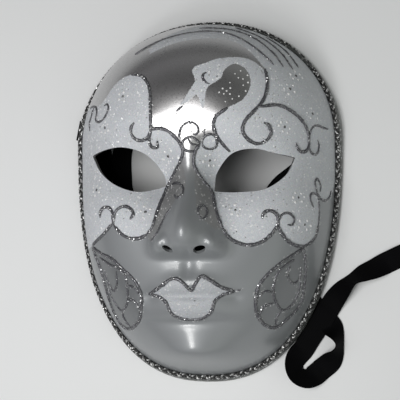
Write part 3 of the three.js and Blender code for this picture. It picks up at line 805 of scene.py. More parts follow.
def glitter_group():
    """Loose flakes of glitter: which cells flash, a pastel tint, a tilted normal and a grain height."""
    inputs = [("Place", PLACE), ("Flakes per Metre", NUMBER, 1700.0), ("Share", NUMBER, 0.05),
              ("Tilt", NUMBER, 0.8)]
    outputs = [("Flash", NUMBER), ("Tint", COLOUR), ("Normal", PLACE), ("Height", NUMBER)]
    tree, g, given, result = shader_group("Glitter flakes", inputs, outputs)
    if g is None:
        return tree
    cells = g.add("ShaderNodeTexVoronoi", {"Vector": given["Place"], "Scale": given["Flakes per Metre"]})
    parts = g.add("ShaderNodeSeparateColor", {0: cells.outputs["Color"]}).outputs
    edge = g.math("SUBTRACT", 1.0, given["Share"])
    g.feed(result["Flash"], g.math("GREATER_THAN", parts[0], edge))
    feeds = {"Hue": parts[1], "Saturation": 1.0, "Color": FLAKE_TINT}
    g.feed(result["Tint"], g.add("ShaderNodeHueSaturation", feeds).outputs[0])
    lean = g.scaled(g.vector("SUBTRACT", cells.outputs["Color"], (0.5, 0.5, 0.5)), given["Tilt"])
    g.feed(result["Normal"], g.vector("NORMALIZE", g.vector("ADD", g.upright(), lean)))
    g.feed(result["Height"], parts[2])
    return tree


def thread_group():
    """Fine threads seen in a pattern's own coordinates, in millimetres: a height and a shade."""
    inputs = [("Place", PLACE), ("Threads per Millimetre", NUMBER, 3.0), ("Slant", NUMBER, 0.6)]
    outputs = [("Height", NUMBER), ("Shade", NUMBER)]
    tree, g, given, result = shader_group("Threads", inputs, outputs)
    if g is None:
        return tree
    x, y = g.axes(given["Place"])[:2]
    rate = g.math("MULTIPLY", given["Threads per Millimetre"], 2.0 * math.pi)
    slanted = g.math("ADD", y, g.math("MULTIPLY", x, given["Slant"]))
    warp = g.math("SINE", g.math("MULTIPLY", slanted, rate))
    back = g.math("SUBTRACT", y, g.math("MULTIPLY", x, given["Slant"]))
    weft = g.math("SINE", g.math("MULTIPLY", back, rate))
    height = g.math("MULTIPLY_ADD", g.math("MULTIPLY", warp, weft), 0.5, 0.5)
    g.feed(result["Height"], height)
    g.feed(result["Shade"], g.noise(given["Place"], 1.4, 3.0))
    return tree


def group_node(g, tree, feeds):
    """A shader group placed in a tree: its results."""
    node = g.add("ShaderNodeGroup")
    node.node_tree = tree
    for key, value in feeds.items():
        g.feed(node.inputs[key], value)
    return node.outputs


def glitter(g, place, per_metre, share, tilt):
    """Flakes in a material: how many to a metre, what share of them flashes and how far they lean."""
    feeds = {"Place": place, "Flakes per Metre": per_metre, "Share": share, "Tilt": tilt}
    return group_node(g, glitter_group(), feeds)


def threads_of(g, pattern, per_millimetre, slant):
    """Threads in a material, over its pattern in millimetres."""
    feeds = {"Place": pattern, "Threads per Millimetre": per_millimetre, "Slant": slant}
    return group_node(g, thread_group(), feeds)


def new_material(name, **constants):
    """A material with a Principled shader that has these constants, its Graph and its shader."""
    material = bpy.data.materials.new(name)
    material.use_nodes = True
    material.node_tree.nodes.clear()
    g = Graph(material.node_tree)
    shader = g.add("ShaderNodeBsdfPrincipled")
    for key, value in constants.items():
        shader.inputs[key.replace("_", " ").title().replace("Ior", "IOR")].default_value = value
    output = g.add("ShaderNodeOutputMaterial")
    g.tree.links.new(shader.outputs[0], output.inputs[0])
    return material, g, shader


def opaque(rgb):
    """A colour of the settings with its alpha."""
    return (*rgb, 1.0)


def grey(value, blue=0.0):
    """A neutral colour with its alpha, cooler where blue is above 0."""
    return (value * (1.0 - blue), value, value * (1.0 + blue), 1.0)


def glittered_edge(g, place, field_name, ragged, soft=0.18):
    """A mask that is 1 where a field is positive, with an uneven edge as glue makes it."""
    wander = g.math("SUBTRACT", g.noise(place, 1100.0, 3.0, 0.65), 0.5)
    value = g.math("MULTIPLY_ADD", wander, ragged, g.field(field_name))
    return g.step(value, -soft, soft)


# Where along y, in metres, the polished silver turns pearly, and where the painted shade on the white of
# the lips begins.
PEARLY_FROM_Y = (0.030, 0.000)
LIPS_SHADE_FROM_Y = (-0.043, -0.047)


def shell_paint(settings):
    """Silver paint, bright over the forehead and pearly below, with the glittered areas on it."""
    gloss = {"coat_roughness": 0.19, "coat_ior": 1.9, "specular_ior_level": 0.5}
    material, g, shader = new_material("silver_paint", **gloss)
    place = g.place()
    y = g.axes(place)[1]
    lower = g.step(g.math("MULTIPLY_ADD", g.noise(place, 30.0), 0.006, y), *PEARLY_FROM_Y)
    cloud = g.noise(place, 26.0, 4.0, 0.6)
    grain = g.noise(place, 900.0, 4.0, 0.7)
    silver = g.mix(lower, opaque(settings.forehead_colour), opaque(settings.cheek_colour))
    shade = g.math("MULTIPLY_ADD", g.math("SUBTRACT", cloud, 0.5), 0.10, 1.0)
    silver = g.scaled(silver, shade)
    metal = g.blend(lower, 0.93, settings.cheek_metal)
    rough = g.blend(lower, settings.forehead_roughness, 0.50)
    rough = g.math("MULTIPLY_ADD", g.math("SUBTRACT", grain, 0.5), 0.16, rough)

    white = glittered_edge(g, place, "white", 1.5)
    dark = g.math("MULTIPLY", glittered_edge(g, place, "nose_band", 2.0, 0.6), 0.8)
    wing = glittered_edge(g, place, "wing", 0.8, 0.5)
    coarse = glitter(g, place, per_metre=1300.0, share=0.06, tilt=1.4)
    fine = glitter(g, place, per_metre=3600.0, share=0.10, tilt=0.8)
    stray = g.math("MULTIPLY", g.math("MAXIMUM", dark, g.step(g.field("near_line"), 1.2, -0.4)), 0.7)
    loose_glints = g.math("MULTIPLY", g.math("MULTIPLY", coarse["Flash"], stray), g.math("SUBTRACT", 1.0, white))

    depth = g.scaled(silver, g.blend(wing, 1.0, 0.66))
    base = g.mix(dark, depth, grey(0.22))
    speckle = g.mix(fine["Height"], opaque(settings.white_low), opaque(settings.white_high))
    speckle = g.mix(g.math("MULTIPLY", g.noise(place, 60.0, 3.0), 0.22), speckle, grey(0.33))
    speckle = g.mix(g.math("MULTIPLY", fine["Flash"], 0.5), speckle, fine["Tint"])
    # Partly painted glints: flakes that flash are also near white in the colour, beside their real tilt
    # and gloss.
    speckle = g.mix(g.math("MULTIPLY", coarse["Flash"], 0.75), speckle, grey(0.95))
    # Painted shade: the white glitter is darker from the lips down.
    speckle = g.scaled(speckle, g.blend(g.step(y, *LIPS_SHADE_FROM_Y), 1.0, 0.78))
    base = g.mix(white, base, speckle)
    # Loose flakes beside the glue and in the dark bands are near white in the colour: partly painted
    # glints.
    base = g.mix(loose_glints, base, grey(0.85))
    g.feed(shader.inputs["Base Color"], base)
    covered = g.math("MAXIMUM", white, g.math("MULTIPLY", dark, 0.5))
    g.feed(shader.inputs["Metallic"], g.math("MULTIPLY", metal, g.math("SUBTRACT", 1.0, covered)))
    flash = g.math("MAXIMUM", loose_glints, g.math("MULTIPLY", white, coarse["Flash"]))
    rough = g.blend(g.math("MAXIMUM", white, dark), rough, 0.55)
    g.feed(shader.inputs["Roughness"], g.blend(flash, rough, 0.22))
    coat = g.math("MULTIPLY", g.math("SUBTRACT", 1.0, white), g.blend(lower, 0.10, 0.36))
    g.feed(shader.inputs["Coat Weight"], coat)

    raised = g.math("MULTIPLY", white, g.math("MULTIPLY_ADD", fine["Height"], 0.5, 0.6))
    raised = g.math("MULTIPLY_ADD", dark, g.math("MULTIPLY", coarse["Height"], 0.6), raised)
    paint = g.math("MULTIPLY", g.noise(place, 420.0, 3.0, 0.6), 0.10)
    orange_peel = g.math("MULTIPLY", g.noise(place, 120.0, 2.0), 0.30)
    height = g.math("ADD", raised, g.math("ADD", paint, orange_peel))
    bump = g.bump(0.55, 0.00012, height)
    lean = g.math("MULTIPLY", flash, 0.9)
    g.feed(shader.inputs["Normal"], g.tilted(lean, bump, coarse["Normal"]))
    return material


def inside_finish(settings):
    """The bare moulding behind the face, matt and a little mottled, and set near black: painted shade
    that deepens the hollow under the face.
    """
    material, g, shader = new_material("bare_moulding", specular_ior_level=0.35)
    place = g.place()
    cloud = g.noise(place, 45.0, 4.0, 0.6)
    g.feed(shader.inputs["Base Color"], g.mix(cloud, grey(0.03), opaque(settings.inside_shade_colour)))
    g.feed(shader.inputs["Roughness"], g.math("MULTIPLY_ADD", cloud, 0.25, 0.45))
    height = g.noise(place, 700.0, 3.0, 0.6)
    g.feed(shader.inputs["Normal"], g.bump(0.3, 0.0001, height))
    return material


def glue_finish(settings):
    """Set glitter glue: grey, packed with fine metal flakes."""
    material, g, shader = new_material("glitter_glue", coat_roughness=0.15)
    place = g.place()
    packed = glitter(g, place, per_metre=2600.0, share=0.12, tilt=1.2)
    dull = g.mix(packed["Height"], opaque(settings.glue_low), opaque(settings.glue_high))
    g.feed(shader.inputs["Base Color"], g.mix(packed["Flash"], dull, grey(0.5)))
    g.feed(shader.inputs["Metallic"], g.math("MULTIPLY_ADD", packed["Flash"], 0.3, 0.6))
    g.feed(shader.inputs["Roughness"], g.blend(packed["Flash"], 0.45, 0.25))
    g.feed(shader.inputs["Coat Weight"], g.math("MULTIPLY", packed["Height"], 0.2))
    lean = g.math("MULTIPLY_ADD", packed["Flash"], 0.5, 0.3)
    g.feed(shader.inputs["Normal"], g.tilted(lean, g.upright(), packed["Normal"]))
    return material


def foil_finish():
    """The flakes of foil that stand on the glue."""
    material, g, shader = new_material("foil_flake")
    place = g.place()
    worn = g.noise(place, 1400.0, 1.0)
    g.feed(shader.inputs["Base Color"], g.mix(g.step(worn, 0.40, 0.60), grey(0.22), grey(0.78, 0.02)))
    g.feed(shader.inputs["Metallic"], g.math("MULTIPLY_ADD", worn, 0.1, 0.9))
    g.feed(shader.inputs["Roughness"], g.math("MULTIPLY_ADD", worn, 0.2, 0.15))
    return material


def dab_finish(name, low, high, metal):
    """A thick dab of glossy paint with a few flakes in it."""
    material, g, shader = new_material(name, coat_roughness=0.12)
    place = g.place()
    flakes = glitter(g, place, per_metre=2600.0, share=0.12, tilt=1.0)
    base = g.mix(g.noise(place, 500.0, 2.0), grey(low), grey(high))
    g.feed(shader.inputs["Base Color"], g.mix(flakes["Flash"], base, grey(min(high + 0.25, 0.95))))
    g.feed(shader.inputs["Metallic"], g.math("MULTIPLY_ADD", flakes["Flash"], 0.3, metal))
    g.feed(shader.inputs["Roughness"], g.math("MULTIPLY_ADD", flakes["Height"], 0.2, 0.25))
    g.feed(shader.inputs["Coat Weight"], g.math("MULTIPLY", flakes["Height"], 0.4))
    lean = g.math("MULTIPLY", flakes["Flash"], 0.5)
    g.feed(shader.inputs["Normal"], g.tilted(lean, g.upright(), flakes["Normal"]))
    return material


def woven_metal(settings):
    """Metallic tape: fine slanted threads that shine, duller in the gaps."""
    material, g, shader = new_material("woven_metal", anisotropic=0.3)
    pattern = g.add("ShaderNodeUVMap", uv_map="pattern_mm").outputs[0]
    threads = threads_of(g, pattern, per_millimetre=0.85, slant=0.9)
    place = g.place()
    glints = glitter(g, place, per_metre=1300.0, share=0.10, tilt=1.3)
    crest = g.step(threads["Height"], 0.35, 0.75)
    base = g.mix(crest, opaque(settings.tape_low), opaque(settings.tape_high))
    base = g.mix(g.math("MULTIPLY", threads["Shade"], 0.35), base, grey(0.06))
    g.feed(shader.inputs["Base Color"], g.mix(glints["Flash"], base, grey(0.85)))
    g.feed(shader.inputs["Metallic"], g.math("MULTIPLY_ADD", crest, 0.35, 0.5))
    g.feed(shader.inputs["Roughness"], g.blend(glints["Flash"], 0.42, 0.22))
    bump = g.bump(0.8, 0.0003, threads["Height"])
    lean = g.math("MULTIPLY", glints["Flash"], 0.7)
    g.feed(shader.inputs["Normal"], g.tilted(lean, bump, glints["Normal"]))
    return material


def thread_finish(name, low, high, metal, flash):
    """A twisted strand of fine threads."""
    material, g, shader = new_material(name, coat_roughness=0.2)
    place = g.place()
    glints = glitter(g, place, per_metre=1900.0, share=flash, tilt=1.1)
    strands = g.noise(place, 1500.0, 2.0, 0.6)
    base = g.mix(g.step(strands, 0.35, 0.65), grey(low), grey(high))
    g.feed(shader.inputs["Base Color"], g.mix(glints["Flash"], base, grey(0.9)))
    g.feed(shader.inputs["Metallic"], g.math("MAXIMUM", metal, glints["Flash"]))
    g.feed(shader.inputs["Roughness"], g.math("MULTIPLY_ADD", strands, 0.2, 0.26))
    bump = g.bump(0.5, 0.0002, strands)
    lean = g.math("MULTIPLY", glints["Flash"], 0.6)
    g.feed(shader.inputs["Normal"], g.tilted(lean, bump, glints["Normal"]))
    return material


def satin_finish(settings):
    """Black satin: long floats across the ribbon, a soft sheen and a corded edge."""
    material, g, shader = new_material("black_satin", specular_ior_level=0.015)
    pattern = g.add("ShaderNodeUVMap", uv_map="pattern_mm").outputs[0]
    across, along = g.axes(pattern)[:2]
    threads = threads_of(g, pattern, per_millimetre=1.6, slant=0.25)
    base = g.mix(threads["Height"], opaque(settings.satin_low), opaque(settings.satin_high))
    edge = g.step(g.math("ABSOLUTE", across), 5.4, 6.1)
    g.feed(shader.inputs["Base Color"], g.mix(g.math("MULTIPLY", edge, 0.5), base, grey(0.004)))
    g.feed(shader.inputs["Roughness"], g.math("MULTIPLY_ADD", threads["Shade"], 0.2, 0.42))
    cord = g.math("SINE", g.math("MULTIPLY", along, 2.0 * math.pi / 0.8))
    height = g.blend(edge, threads["Height"], g.math("MULTIPLY_ADD", cord, 0.5, 0.5))
    g.feed(shader.inputs["Normal"], g.bump(0.35, 0.0002, height))
    return material


def floor_finish(settings):
    """The plain pale table."""
    material, g, shader = new_material("pale_table", specular_ior_level=0.2)
    place = g.place()
    cloud = g.noise(place, 6.0, 3.0)
    high = opaque(settings.floor_colour)
    low = opaque(0.97 * c for c in settings.floor_colour)
    g.feed(shader.inputs["Base Color"], g.mix(cloud, low, high))
    g.feed(shader.inputs["Roughness"], g.math("MULTIPLY_ADD", cloud, 0.1, 0.65))
    return material


# The half width at a line's ends as a share of the rest, and over what length it grows.
LINE_END = {"share": 0.55, "reach": 2.5}


def row_length(points):
    """The length along a row of points, at each of them."""
    return np.concatenate([[0.0], np.cumsum(np.linalg.norm(np.diff(points, axis=0), axis=1))])


def lifted_line(route, half_width, lift):
    """A route laid on the face, and the half width at each of its points, thinner at the ends."""
    plan, _ = through(route, LINE_SPACING)
    points = on_face(plan, lift)
    length = row_length(plan)
    from_end = np.minimum(length, length[-1] - length)
    thinned = LINE_END["share"] + (1.0 - LINE_END["share"]) * smooth(0.0, LINE_END["reach"], from_end)
    return points, half_width * MM * thinned


# The braid, as in the part's source: how far it stands out, its heights over the table, and the
# gap between it and the shell's edge.
BRAID_OUT = {"full": 3.0, "least": 1.1}
BRAID_THINS = BRAID_OUT["full"] - BRAID_OUT["least"]
BRAID_HEIGHT = 5.6
BRAID_WRAP = 3.9
BRAID_FLOOR = 1.2
BRAID_HEEL = 1.3
FIT_GAP = 0.3
TAPE_STEPS = 420

# The plait: points of its guide, how much lower it lies where the braid is thin, and the points
# of a strand from one crossing to the next.
PLAIT_GUIDE_STEPS = 900
PLAIT_DROP = 3.4
STEPS_PER_CROSSING = 14


def lean_at(angle, height):
    """How far the face has moved in from the rim at a height above the shell's edge."""
    low = np.zeros_like(angle)
    high = np.full_like(angle, 20.0)
    edge = rim_radius(angle)
    for _ in range(24):
        middle = 0.5 * (low + high)
        x = (edge - middle) * np.cos(angle)
        y = WIDEST_Y + (edge - middle) * np.sin(angle)
        below = face_height(x, y) - EDGE_Z - arch_rise(angle) < height
        low = np.where(below, middle, low)
        high = np.where(below, high, middle)
    return 0.5 * (low + high)


def braid_out(angle):
    """How far the braid stands out from the rim, least along the top and the upper left side."""
    degrees = np.degrees(np.arctan2(np.sin(angle), np.cos(angle)))
    return BRAID_OUT["full"] - BRAID_THINS * smooth(12.0, 80.0, degrees) * smooth(176.0, 160.0, degrees)


def round_rim(angle, out, z):
    """A point beside the rim: a distance outwards and a height over the edge's foot."""
    r = rim_radius(angle) + out
    return np.column_stack([r * np.cos(angle), WIDEST_Y + r * np.sin(angle), z + arch_rise(angle)])


def even_angles(count):
    """Directions from the rim's centre that divide the rim into equal lengths."""
    angle = np.linspace(-math.pi / 2, 1.5 * math.pi, 2001)
    rim = np.column_stack([rim_radius(angle) * np.cos(angle), rim_radius(angle) * np.sin(angle)])
    length = row_length(rim)
    wanted = np.linspace(0.0, length[-1], count, endpoint=False)
    return np.interp(wanted, length, angle), length[-1]


# Ribbon routes, as in the part's source: x, y, height of the lower edge, bank in degrees.
RIGHT_ROUTE = [
    (71.8, 55, 5, -72), (73.4, 45, 4.6, -72), (73.2, 34, 4.2, -68), (70, 24, 3, -50),
    (62, 17.8, 1.5, -24), (53.8, 12, 0.5, -5), (46.2, 6.2, 0.2, 0), (40.4, -2.6, 0.2, 0),
    (38.8, -15.6, 0.2, 0), (40, -28, 0.2, 0), (44.6, -39.6, 0.2, 0), (51.4, -50.2, 0.2, 0),
    (58.6, -59.4, 0.2, 0), (65, -67, 0.2, 0), (70.6, -73.8, 0.2, 0), (75.8, -79.6, 0.2, -8),
    (79.2, -85, 0.3, -50), (80.6, -90.4, 0.5, -70), (79.2, -95.8, 0.4, -55), (75, -101, 0.2, -15),
    (69.7, -105.3, 0.2, 0), (65.2, -109, 0.2, 10), (60.2, -110.8, 0.2, 34), (55.1, -108.6, 0.2, 42),
    (53.3, -103.6, 0.2, 36), (54.8, -98.4, 0.2, 14), (58.6, -93.8, 0.2, 0), (62.4, -87.8, 0.4, 0),
    (66.4, -81.8, 0.9, 0), (70.6, -75.4, 1.15, 0), (74.6, -69, 1, 0), (78, -63.6, 0.5, -12),
    (83, -57.4, 0.3, -34), (88.6, -52, 0.3, -56), (94.8, -48.4, 0.3, -38), (101.8, -45.6, 0.2, -22),
    (110, -41.6, 0.2, 0), (119, -37.4, 0.2, 0), (129, -33.4, 0.2, 0), (140, -31.6, 0.2, 0),
    (150, -34, 0.2, 0), (156.4, -41.4, 0.2, 0), (155.6, -51.4, 0.2, 0), (148.4, -59, 0.2, 0),
    (140.6, -66.4, 0.2, 0), (138, -76.4, 0.2, 0), (142, -86, 0.2, 0),
]
LEFT_ROUTE = [
    (-85.4, 46, 0.2, 0), (-78, 44.4, 0.2, 0), (-72.5, 39.5, 0.2, 0), (-69.3, 31, 0.2, 0),
    (-68.8, 20, 0.2, 0), (-68.8, 8, 0.2, 0), (-68.5, -5, 0.2, 0), (-66, -18, 0.2, 0), (-60, -30, 0.2, 0),
    (-50, -36.5, 0.2, 0), (-41.5, -32, 0.2, 0), (-40, -22, 0.2, 0), (-45, -12, 0.2, 0),
    (-51, -3.5, 0.2, 0), (-54.6, 5, 0.2, 0), (-55.6, 15, 0.2, 0), (-55.8, 28, 0.2, 0), (-53, 40, 0.2, 0),
    (-46, 50, 0.2, 0), (-35, 56, 0.2, 0), (-22, 54, 0.2, 0), (-13, 45, 0.2, 0), (-9, 33, 0.2, 0),
    (-9, 12, 0.2, 0), (-9, -2, 0.2, 0), (-8, -16, 0.2, 0), (-3, -28, 0.2, 0), (7, -36, 0.2, 0),
    (17, -38, 0.2, 0), (25, -31, 0.2, 0), (24.5, -20, 0.2, 0),
]


# A ribbon's section from one edge to the other: places across it and its thickness at them, as
# shares, with a cord along each edge. It lies this far over its route, in millimetres.
RIBBON_ACROSS = np.array([-1.0, -0.97, -0.9, -0.6, -0.3, 0.0, 0.3, 0.6, 0.9, 0.97, 1.0])
RIBBON_PROFILE = np.array([0.35, 1.0, 0.75, 0.6, 0.6, 0.6, 0.6, 0.6, 0.75, 1.0, 0.35])
RIBBON_CLEARANCE = 0.35


def turned_banks(route, places):
    """The bank of a route at places between its points, in radians."""
    k = np.minimum(places.astype(int), len(route) - 2)
    t = places - k
    banks = np.concatenate([route[:1, 3], route[:, 3], route[-1:, 3]])
    a, b, c, d = (banks[k + shift] for shift in range(4))
    curve = 2 * b + (c - a) * t + (2 * a - 5 * b + 4 * c - d) * t ** 2 + (3 * b - a - 3 * c + d) * t ** 3
    return np.radians(0.5 * curve)


def ribbon_strip(name, route, width, thickness, material):
    """A satin strip along a route, with its centre line in millimetres."""
    route = np.array(route, float)
    centre, places = through(route[:, :3], RIBBON_SPACING)
    bank = turned_banks(route, places)
    way = np.gradient(centre, axis=0)
    way[:, 2] = 0.0
    way /= np.linalg.norm(way, axis=1, keepdims=True)
    across = np.column_stack([-way[:, 1] * np.cos(bank), way[:, 0] * np.cos(bank), np.sin(bank)])
    out = np.cross(way, across)
    centre[:, 2] += 0.5 * width * np.abs(np.sin(bank)) + RIBBON_CLEARANCE
    length = row_length(centre)
    thick = 0.5 * thickness * RIBBON_PROFILE
    ring = list(zip(RIBBON_ACROSS, thick)) + list(zip(RIBBON_ACROSS[::-1], -thick[::-1]))
    points = np.stack([centre + 0.5 * width * s * across + h * out for s, h in ring], axis=1)
    count = len(ring)
    steps = len(centre)
    faces = []
    for j in range(steps - 1):
        for i in range(count):
            n = (i + 1) % count
            faces.append((j * count + i, j * count + n, (j + 1) * count + n, (j + 1) * count + i))
    faces.append(tuple(range(count - 1, -1, -1)))
    faces.append(tuple((steps - 1) * count + i for i in range(count)))
    obj = new_object(name, points.reshape(-1, 3), faces)
    loops = vertex_of_loops(obj.data)
    aside = np.array([s for s, _ in ring]) * 0.5 * width
    uv = np.column_stack([aside[loops % count], length[loops // count]])
    obj.data.uv_layers.new(name="pattern_mm").data.foreach_set("uv", uv.ravel())
    face_outwards(obj)
    smooth_faces(obj, 50.0)
    obj.data.materials.append(material)
    return obj, centre, length[-1]


def face_outwards(obj):
    """Turns the faces of a closed mesh outwards."""
    work = bmesh.new()
    work.from_mesh(obj.data)
    bmesh.ops.recalc_face_normals(work, faces=work.faces)
    work.to_mesh(obj.data)
    work.free()


def tape_section(angle):
    """The tape's outline across the rim in each direction: distances outwards and heights."""
    top = lean_at(angle, BRAID_HEIGHT - EDGE_Z)
    wrap_top = lean_at(angle, BRAID_WRAP - EDGE_Z)
    zero = 0 * top
    inner = FIT_GAP + zero
    thick = braid_out(angle) - inner
    # From the inner foot round the outside and over the top, then down to the shell's edge, along
    # under it and up the side that is turned in.
    return [
        (zero - 3.4, 0.0), (zero - 1.0, 0.0), (inner + 0.33 * thick, 0.0), (inner + 0.76 * thick, 0.0),
        (inner + 0.91 * thick, 0.35), (inner + thick, BRAID_HEEL), (inner + thick - 0.3 * top, 2.7),
        (inner + thick - 0.7 * top, 4.2), (inner + 0.93 * thick - 0.98 * top, 5.2),
        (inner + 0.74 * thick - top, BRAID_HEIGHT), (inner + 0.37 * thick - top, BRAID_HEIGHT + 0.1),
        (inner - top, BRAID_HEIGHT), (inner - 0.5 * top, 3.4), (inner, BRAID_FLOOR),
        (zero - 1.0, BRAID_FLOOR), (zero - 2.4, BRAID_FLOOR), (-2.9 - wrap_top, BRAID_WRAP),
        (-3.2 - 0.5 * wrap_top, 1.9),
    ]


def vertex_of_loops(mesh):
    """The vertex that each corner of a mesh's faces is on."""
    loops = np.zeros(len(mesh.loops), np.int64)
    mesh.loops.foreach_get("vertex_index", loops)
    return loops


def tape_round_rim(material):
    """The metallic tape wrapped round the shell's edge, with its pattern in millimetres."""
    angle, around = even_angles(TAPE_STEPS)
    section = tape_section(angle)
    count = len(section)
    rings = np.stack([round_rim(angle, out, z) for out, z in section], axis=1)
    faces = []
    for j in range(TAPE_STEPS):
        m = (j + 1) % TAPE_STEPS
        for i in range(count):
            n = (i + 1) % count
            faces.append((j * count + i, m * count + i, m * count + n, j * count + n))
    tape = new_object("rim_tape", rings.reshape(-1, 3), faces)
    face_outwards(tape)
    across = row_length(rings[0])
    loops = vertex_of_loops(tape.data)
    along = (loops // count) * around / TAPE_STEPS
    starts = np.zeros(len(tape.data.polygons), np.int64)
    tape.data.polygons.foreach_get("loop_start", starts)
    uv = np.column_stack([across[loops % count], along])
    # Faces that close a ring or the whole round go on past the pattern's end, not back to 0.
    for start in starts:
        four = uv[start:start + 4]
        if four[:, 1].max() - four[:, 1].min() > 0.5 * around:
            four[four[:, 1] < 0.5 * around, 1] += around
        if four[:, 0].max() - four[:, 0].min() > 0.5 * across[-1]:
            four[four[:, 0] < 0.1, 0] += across[-1] + 2.0
    tape.data.uv_layers.new(name="pattern_mm").data.foreach_set("uv", uv.ravel())
    tape.data.materials.append(material)
    smooth_faces(tape, 60.0)
    return tape


def plait_round_rim(braid):
    """The plait that lies on the tape, lower and farther out where the braid is thin."""
    angle, _ = even_angles(PLAIT_GUIDE_STEPS)
    out = braid_out(angle)
    low = (BRAID_OUT["full"] - out) / BRAID_THINS
    height = BRAID_HEIGHT - PLAIT_DROP * low
    aside = 0.45 * out + 0.9 * low - lean_at(angle, height - EDGE_Z)
    line = round_rim(angle, aside, height + 0.45 - 0.25 * low)
    outwards = np.column_stack([np.cos(angle), np.sin(angle), 0.0 * angle])
    upwards = np.column_stack([0.0 * angle, 0.0 * angle, 1.0 + 0.0 * angle])
    carrier = guide("rim_plait_guide", [line], closed=True, across=outwards, out=upwards)
    return grown(carrier, plait_tree(), "rim_plait", crossings=float(braid.crossings),
                 strand_radius=braid.strand, steps=braid.crossings * STEPS_PER_CROSSING,
                 bright_thread=thread_finish("bright_thread", 0.16, 0.46, 0.8, 0.36),
                 dark_thread=thread_finish("dark_thread", 0.012, 0.05, 0.3, 0.06))


def sized(name, text, metres, **more):
    """A length among the settings, in metres."""
    return FloatProperty(name=name, description=text, default=metres, unit="LENGTH", precision=5, **more)


def colour(name, text, value):
    """A colour among the settings."""
    return FloatVectorProperty(name=name, description=text, default=value, size=3, min=0.0, max=1.0,
                               subtype="COLOR")


def share(name, text, value, top=1.0):
    """A share among the settings."""
    return FloatProperty(name=name, description=text, default=value, min=0.0, max=top)


class ShellSettings(bpy.types.PropertyGroup):
    """The moulded shell, its silver paint and its white glitter"""
    wall: sized("Wall", "Thickness of the moulded shell", 0.0018)
    columns: IntProperty(name="Columns", description="Quads across the face", default=184, min=24)
    rows: IntProperty(name="Rows", description="Quads along the face", default=246, min=24)
    forehead_colour: colour("Forehead", "Polished silver over the forehead", (0.50, 0.495, 0.50))
    cheek_colour: colour("Cheeks", "Pearly silver of the lower face", (0.235, 0.247, 0.256))
    cheek_metal: share("Cheek metal", "How metallic the pearly silver is", 0.32)
    forehead_roughness: share("Polish", "Roughness of the silver over the forehead", 0.29)
    white_low: colour("White, low", "White glitter between its grains", (0.44, 0.465, 0.50))
    white_high: colour("White, high", "White glitter on its grains", (0.62, 0.64, 0.67))
    # The inside is near black as painted shade for the hollow under the face.
    inside_shade_colour: colour("Inside", "The bare moulding behind the face", (0.06, 0.06, 0.052))


class LineSettings(bpy.types.PropertyGroup):
    """The raised lines of glitter glue"""
    flake_radius: sized("Flake radius", "Size of the foil flakes on the glue", 0.0003)
    flakes: FloatProperty(name="Flakes", description="Foil flakes on a square metre of glue",
                          default=900000.0, min=0.0)
    unevenness: share("Unevenness", "How much the width of the glue wanders", 0.8)
    sink: sized("Sink", "How deep the beads sit in the surface", 0.0001)
    glue_low: colour("Glue, low", "Glitter glue between its flakes", (0.06, 0.06, 0.068))
    glue_high: colour("Glue, high", "Glitter glue on its flakes", (0.14, 0.14, 0.155))


class BraidSettings(bpy.types.PropertyGroup):
    """The tape and the plait round the rim"""
    crossings: IntProperty(name="Crossings", description="Turns of the plait round the whole rim",
                           default=104, min=8)
    strand: sized("Strand", "Radius of one strand of the plait", 0.00060)
    tape_low: colour("Tape, low", "Metallic tape between its threads", (0.045, 0.048, 0.045))
    tape_high: colour("Tape, high", "Metallic tape on its threads", (0.24, 0.25, 0.24))


class RibbonSettings(bpy.types.PropertyGroup):
    """The two satin ribbons"""
    width: sized("Width", "Width of the satin ribbon", 0.013)
    thickness: sized("Thickness", "Thickness at the ribbon's corded edge", 0.0006)
    satin_low: colour("Satin, low", "Black satin between its threads", (0.002, 0.002, 0.0022))
    satin_high: colour("Satin, high", "Black satin on its threads", (0.005, 0.005, 0.0056))


class StageSettings(bpy.types.PropertyGroup):
    """The camera, the table and the light"""
    camera_place: FloatVectorProperty(name="Camera", description="Where the camera stands",
                                      default=(0.0898, -0.0671, 0.5395), size=3, subtype="TRANSLATION",
                                      unit="LENGTH")
    lens: FloatProperty(name="Lens", description="Focal length of the camera in millimetres",
                        default=78.70, min=10.0)
    floor_size: sized("Table", "Side of the square table", 3.0)
    floor_colour: colour("Table colour", "The plain pale table", (0.80, 0.81, 0.815))
    key_power: FloatProperty(name="Key light", description="Power of the soft main light", default=2.15,
                             unit="POWER")
    window_power: FloatProperty(name="Window", description="Power of the small light", default=0.62,
                                unit="POWER")
    key_size: sized("Key size", "Side of the square main light", 0.30)
    sky: share("Surroundings", "Brightness of the room", 0.54, top=4.0)


def settings_of(context, name):
    """The scene's group of settings of that name."""
    return getattr(context.scene, name)


# The photograph's viewing angle, as the directions of the picture's right and upper side.
CAMERA_RIGHT = Vector((0.98494, -0.00097, -0.17291))
CAMERA_UP = Vector((0.02157, 0.99286, 0.11732))

# The lights stand this far from a point in the hollow, in these directions, in metres.
LIGHT_DISTANCE = 0.62
LIT_POINT = Vector((0.0, 0.0, 0.03))
LIGHT_COLOUR = (1.0, 0.995, 0.985)
KEY_TOWARDS = (-0.22, -0.12, 0.96)
WINDOW_TOWARDS = (-0.22, -0.50, 0.84)
WINDOW_SIZE = (0.07, 0.12)


class MASK_OT_camera(bpy.types.Operator):
    """Places the camera at the photograph's viewing angle"""
    bl_idname = "mask.camera"
    bl_label = "Camera"

    def execute(self, context):
        stage = settings_of(context, "mask_stage")
        camera = bpy.data.objects.new("camera", bpy.data.cameras.new("camera"))
        context.scene.collection.objects.link(camera)
        axes = (CAMERA_RIGHT, CAMERA_UP, CAMERA_RIGHT.cross(CAMERA_UP))
        turn = Matrix(axes).transposed().to_4x4()
        camera.matrix_world = Matrix.Translation(stage.camera_place) @ turn
        camera.data.sensor_width = 36.0
        camera.data.lens = stage.lens
        camera.data.clip_start = 0.01
        camera.data.clip_end = 20.0
        context.scene.camera = camera
        return {"FINISHED"}


